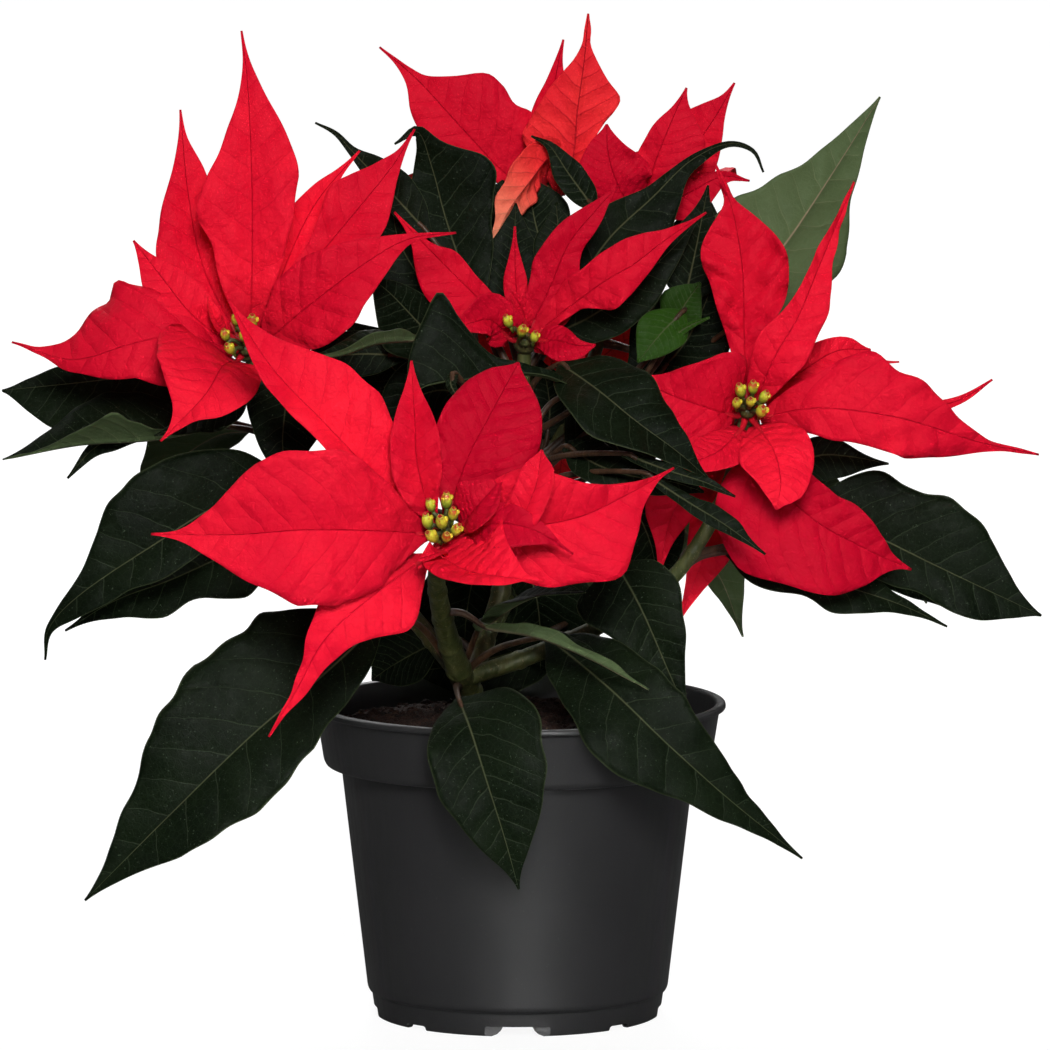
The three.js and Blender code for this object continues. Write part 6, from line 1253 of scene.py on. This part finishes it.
# painted shade: each bract darkens toward its claw, where shade falls in the hub
claw = graded(tree, veins["Along"], 0.25, 0.0, 0, 0.65)
scarlet = mixed(tree, claw, scarlet, (0.34, 0.002, 0.012))
scarlet = veined(tree, veins, scarlet, net=(0.15, (0.45, 0.001, 0.010)), side=(0.14, (0.40, 0.001, 0.011)),
    rib=(0.34, (0.36, 0.001, 0.010)))
salmon = mixed(tree, cloud, (0.80, 0.028, 0.030), (0.68, 0.014, 0.024))
salmon = veined(tree, veins, salmon, net=(0.2, (0.50, 0.006, 0.014)), side=(0.6, (0.40, 0.003, 0.012)),
    rib=(0.8, (0.44, 0.006, 0.016)))
red = mixed(tree, veins["Under"], scarlet, salmon)
paled = times(tree, veins["Tint"], graded(tree, veins["Along"], 0.35, 1.0))
red = mixed(tree, paled, red, (0.80, 0.56, 0.30))
tree.links.new(red, shader.inputs["Base Color"])
tipward = graded(tree, veins["Along"], 1.0, 0.1, 0.3, 0.95)
crinkle = times(tree, noise(tree, place, 210, 2, 0.6), tipward)
tree.links.new(relief(tree, maths(tree, "ADD", veins["Relief"], crinkle), 0.0013), shader.inputs["Normal"])

HUB_RADIUS = 4.2
CLAW_REACH = 0.35  # where a bract's claw starts, from the hub's centre
# A bloom's depth and each bract's age darken its reds: painted shade on the blooms and bracts in shade.
PLAIN_DEPTH, DEPTH_RANGE = 0.08, 0.42  # of a bloom's reds
GOLDEN = 0.618  # spreads the reds of neighbours evenly over that range
BRACT = dict(thick=0.42, ridge=0.6, quilt=0.32, crumple=0.95, lobes=0.045)


def knob(middle, facing, steps, radii, red):
    """A short thick stalk along the way that a bloom faces."""
    return np.array([middle + facing * step for step in steps]), radii, red


bract_number = 200
for bloom, parts in BLOOMS.items():
    hub = np.array(parts["hub"], float)
    made, claws = [], []
    for bract in parts["bracts"]:
        bract_number += 1
        # painted shade: the bloom's depth, with a spread between neighbours, darkens each bract toward deep
        # red
        tone = parts.get("depth", PLAIN_DEPTH) + DEPTH_RANGE * (bract_number * GOLDEN % 1)
        made.append(blade(**{**BRACT, "age_and_shade": tone, **bract}, number=bract_number))
        claw = tuple(hub + (np.array(bract["rib"][0], float) - hub) * CLAW_REACH)
        claws.append(stalk_line([claw], bract["rib"], radius=1.15, red=1.8))
    blade_piece(f"{bloom}_bloom", made, bract_red, f"bracts_{bloom}")
    facing = unit(np.array(parts["front"], float))
    claws.append(knob(hub, facing, (-3.5, -2, 0, 2.4, 3.9), [1.8, 3.3, 4.0, 3.4, 1.6], red=0.2))
    stalk_piece(f"{bloom}_claws", claws, stem_skin, f"bracts_{bloom}", sides=14)

# ---- The cyathia -----------------------------------------------------------------------------------------
# The true flowers, in the middle of each bloom: little egg-shaped cups, yellow-green and flushed red at the
# top, on short stalks from a cushion on the hub. Each has a yellow lip round its mouth, four red anthers
# standing in it, and a yellow gland on its side.

BUD_RADIUS = 2.45
CUP, LIP, ANTHERS, GLAND = 0.0, 1.0, 2.0, 3.0  # what the attribute part says; the foot counts as cup
CUSHION_RISE = 0.9  # how far the cushion stands out of the hub
PEDICEL_PLACES, PEDICEL_RADIUS = 8, 0.7

cups, given = geometry_tree("cyathia", Anthers="Int")


def marked(geometry, part, moved=(0, 0, 0), scale=(1, 1, 1)):
    """A shape moved and scaled, with its part and its height in the cup kept as attributes."""
    place = node(cups, "GeometryNodeTransform", {"Geometry": geometry, "Translation": moved,
        "Scale": scale}).outputs[0]
    tagged = node(cups, "GeometryNodeStoreNamedAttribute", {"Geometry": place, "Name": "part",
        "Value": part}, data_type="FLOAT", domain="POINT").outputs[0]
    where = node(cups, "GeometryNodeInputPosition").outputs[0]
    height = node(cups, "ShaderNodeSeparateXYZ", {0: where}).outputs[2]
    return node(cups, "GeometryNodeStoreNamedAttribute", {"Geometry": tagged, "Name": "rise",
        "Value": height}, data_type="FLOAT", domain="POINT").outputs[0]


def globe(segments, rings):
    """A ball of radius one."""
    return node(cups, "GeometryNodeMeshUVSphere", {"Segments": segments, "Rings": rings,
        "Radius": 1.0}).outputs["Mesh"]


# Each cup is drawn round a radius of about one, and BUD_RADIUS scales it.
lip_line = node(cups, "GeometryNodeCurvePrimitiveCircle", {"Resolution": 12, "Radius": 0.3}).outputs[0]
lip_section = node(cups, "GeometryNodeCurvePrimitiveCircle", {"Resolution": 6, "Radius": 0.14}).outputs[0]
lip = node(cups, "GeometryNodeCurveToMesh", {"Curve": lip_line, "Profile Curve": lip_section}).outputs[0]
ring = node(cups, "GeometryNodeMeshCircle", {"Vertices": given["Anthers"], "Radius": 0.17}).outputs[0]
anther = node(cups, "GeometryNodeTransform", {"Geometry": globe(6, 4),
    "Scale": (0.12, 0.12, 0.24)}).outputs[0]
anthers = node(cups, "GeometryNodeInstanceOnPoints", {"Points": ring, "Instance": anther}).outputs[0]
anthers = node(cups, "GeometryNodeRealizeInstances", {"Geometry": anthers}).outputs[0]
foot = node(cups, "GeometryNodeMeshCone", {"Vertices": 8, "Radius Top": 0.3, "Radius Bottom": 0.2,
    "Depth": 1.5}).outputs["Mesh"]
cup = node(cups, "GeometryNodeJoinGeometry")
for made in (
        marked(globe(16, 12), CUP, scale=(0.74, 0.74, 1.2)),
        marked(lip, LIP, moved=(0, 0, 1.1)),
        marked(anthers, ANTHERS, moved=(0, 0, 1.24)),
        marked(globe(10, 6), GLAND, moved=(0.66, 0, 0.5), scale=(0.26, 0.42, 0.34)),
        marked(foot, CUP, moved=(0, 0, -2.4))):
    cups.links.new(made, cup.inputs[0])
aim = node(cups, "GeometryNodeInputNamedAttribute", {"Name": "aim"}, data_type="FLOAT_VECTOR").outputs[0]
size = node(cups, "GeometryNodeInputNamedAttribute", {"Name": "size"}, data_type="FLOAT").outputs[0]
tilt = node(cups, "FunctionNodeAlignRotationToVector", {"Vector": aim}, axis="Z").outputs[0]
placed = node(cups, "GeometryNodeInstanceOnPoints", {"Points": given["Geometry"],
    "Instance": cup.outputs[0], "Rotation": tilt, "Scale": size}).outputs[0]
end_tree(cups, placed, given["Finish"])

cyathium, tree, shader = material("cyathium", roughness=0.42, Specular_IOR_Level=0.45)
place = node(tree, "ShaderNodeTexCoord").outputs["Object"]
part = node(tree, "ShaderNodeAttribute", attribute_name="part").outputs["Fac"]
rise = node(tree, "ShaderNodeAttribute", attribute_name="rise").outputs["Fac"]
patch = noise(tree, place, 420, 3)
body = mixed(tree, graded(tree, rise, -1.1, 0.9), (0.070, 0.115, 0.008), (0.52, 0.53, 0.035))
body = mixed(tree, graded(tree, patch, 0.50, 0.62, 0, 0.6), body, (0.14, 0.21, 0.012))
reddened = times(tree, graded(tree, rise, 0.0, 1.0), graded(tree, patch, 0.47, 0.57))
body = mixed(tree, times(tree, reddened, 0.95), body, (0.46, 0.030, 0.012))
for which, colour in (
        (LIP, (0.40, 0.30, 0.03)), (ANTHERS, (0.42, 0.012, 0.012)), (GLAND, (0.62, 0.50, 0.03))):
    body = mixed(tree, maths(tree, "COMPARE", part, which, 0.4), body, colour)
tree.links.new(body, shader.inputs["Base Color"])
tree.links.new(relief(tree, noise(tree, place, 1500), 0.0002), shader.inputs["Normal"])

for bloom, parts in BLOOMS.items():
    hub = np.array(parts["hub"], float)
    facing = unit(np.array(parts["front"], float))
    cushion = hub + facing * (HUB_RADIUS + CUSHION_RISE)
    buds = np.array(parts["buds"], float)
    chance = np.random.default_rng(int(abs(hub).sum()))
    piece = mesh_piece(f"{bloom}_cups", buds + (PLANT_X, 0, 0), [], cyathium)
    stray = chance.normal(0, 0.12, buds.shape)
    aims = unit(unit(buds - cushion) * 0.7 + facing * 0.35 + stray + (0, 0, 0.55))
    piece.data.attributes.new("aim", "FLOAT_VECTOR", "POINT").data.foreach_set("vector", aims.ravel())
    sizes = chance.uniform(0.8, 1.05, len(buds)) * BUD_RADIUS * MM
    piece.data.attributes.new("size", "FLOAT", "POINT").data.foreach_set("value", sizes)
    grown(piece, cups, Anthers=4, Finish=cyathium)
    fit(piece, f"cyathia_{bloom}")
    lines = []
    for bud, aim in zip(buds, aims):
        pedicel = [cushion - facing, cushion + (bud - cushion) * 0.6, bud - aim * 3.2]
        places, _, _ = line_through(pedicel, PEDICEL_PLACES)
        lines.append((places, np.full(PEDICEL_PLACES, PEDICEL_RADIUS), 0.0))
    lines.append(knob(cushion, facing, (-1.4, 0, 1, 1.7), [1.6, 2.6, 2.0, 0.8], red=0.0))
    stalk_piece(f"{bloom}_cushion", lines, stem_skin, f"cyathia_{bloom}", sides=12)

# ---- The studio ------------------------------------------------------------------------------------------
# A pale floor and sky that glow to the camera alone, so that they show white. Five soft lights: a large
# one above the front, a narrow one low in front for the pot, one behind each side and one high behind.
# The camera stands three metres off with a long lens, a little above the plant. All this is in metres.

FLOOR_RADIUS = 14

floor_paint, tree, shader = material("floor paint", roughness=0.9, Specular_IOR_Level=0.1)
place = node(tree, "ShaderNodeTexCoord").outputs["Object"]
pale = mixed(tree, noise(tree, place, 3), (0.085, 0.085, 0.085), (0.10, 0.10, 0.10))
tree.links.new(pale, shader.inputs["Base Color"])
far = node(tree, "ShaderNodeVectorMath", {0: place}, operation="LENGTH").outputs["Value"]
glow = graded(tree, far, 0.1, 1.0, 0.91, 1.0)
seen = node(tree, "ShaderNodeLightPath").outputs["Is Camera Ray"]
shader.inputs["Emission Color"].default_value = (1, 1, 1, 1)
tree.links.new(times(tree, glow, seen), shader.inputs["Emission Strength"])
bpy.ops.mesh.primitive_circle_add(vertices=96, radius=FLOOR_RADIUS, fill_type="NGON", location=(0, 0, 0))
floor = bpy.context.object
floor.name = "floor"
floor.data.materials.append(floor_paint)

world = bpy.data.worlds.new("studio")
bpy.context.scene.world = world
world.use_nodes = True
air = world.node_tree
ray = node(air, "ShaderNodeLightPath").outputs["Is Camera Ray"]
strength = node(air, "ShaderNodeMapRange", {"Value": ray, "To Min": 0.06, "To Max": 1.0}).outputs[0]
air.links.new(strength, air.nodes["Background"].inputs["Strength"])
air.nodes["Background"].inputs["Color"].default_value = (1, 1, 1, 1)

SOFT_LIGHTS = [  # place, what it points at, width and height in metres, watts, spread in degrees
    ((0.1, -2.0, 1.1), (0, 0, 0.16), 0.6, 0.6, 50, 180),
    ((0.2, -2.2, 0.14), (0, 0, 0.01), 0.7, 0.24, 0.38, 12),
    ((1.5, 1.4, 1.7), (0, 0, 0.2), 0.8, 0.8, 11, 180),
    ((-1.5, 1.4, 1.7), (0, 0, 0.2), 0.8, 0.8, 11, 180),
    ((0, 2.0, 1.7), (0, 0, 0.2), 1.0, 0.8, 42, 180),
]
for number, (at, toward, width, height, watts, spread) in enumerate(SOFT_LIGHTS):
    lamp = bpy.data.lights.new(f"softbox_{number}", "AREA")
    lamp.shape, lamp.size, lamp.size_y, lamp.energy = "RECTANGLE", width, height, watts
    lamp.spread = math.radians(spread)
    light = bpy.data.objects.new(lamp.name, lamp)
    light.location = at
    light.rotation_euler = (Vector(toward) - Vector(at)).to_track_quat("-Z", "Y").to_euler()
    bpy.context.scene.collection.objects.link(light)

EYE, SEEN = Vector((0.00235, -3.0, 0.532)), Vector((0.00235, 0, 0.1589))
lens = bpy.data.cameras.new("camera")
lens.lens, lens.sensor_width, lens.clip_end = 322.1, 36, 60
camera = bpy.data.objects.new("camera", lens)
camera.location = EYE
camera.rotation_euler = (SEEN - EYE).to_track_quat("-Z", "Y").to_euler()
bpy.context.scene.collection.objects.link(camera)
bpy.context.scene.camera = camera
bpy.context.scene.view_settings.view_transform = "Standard"
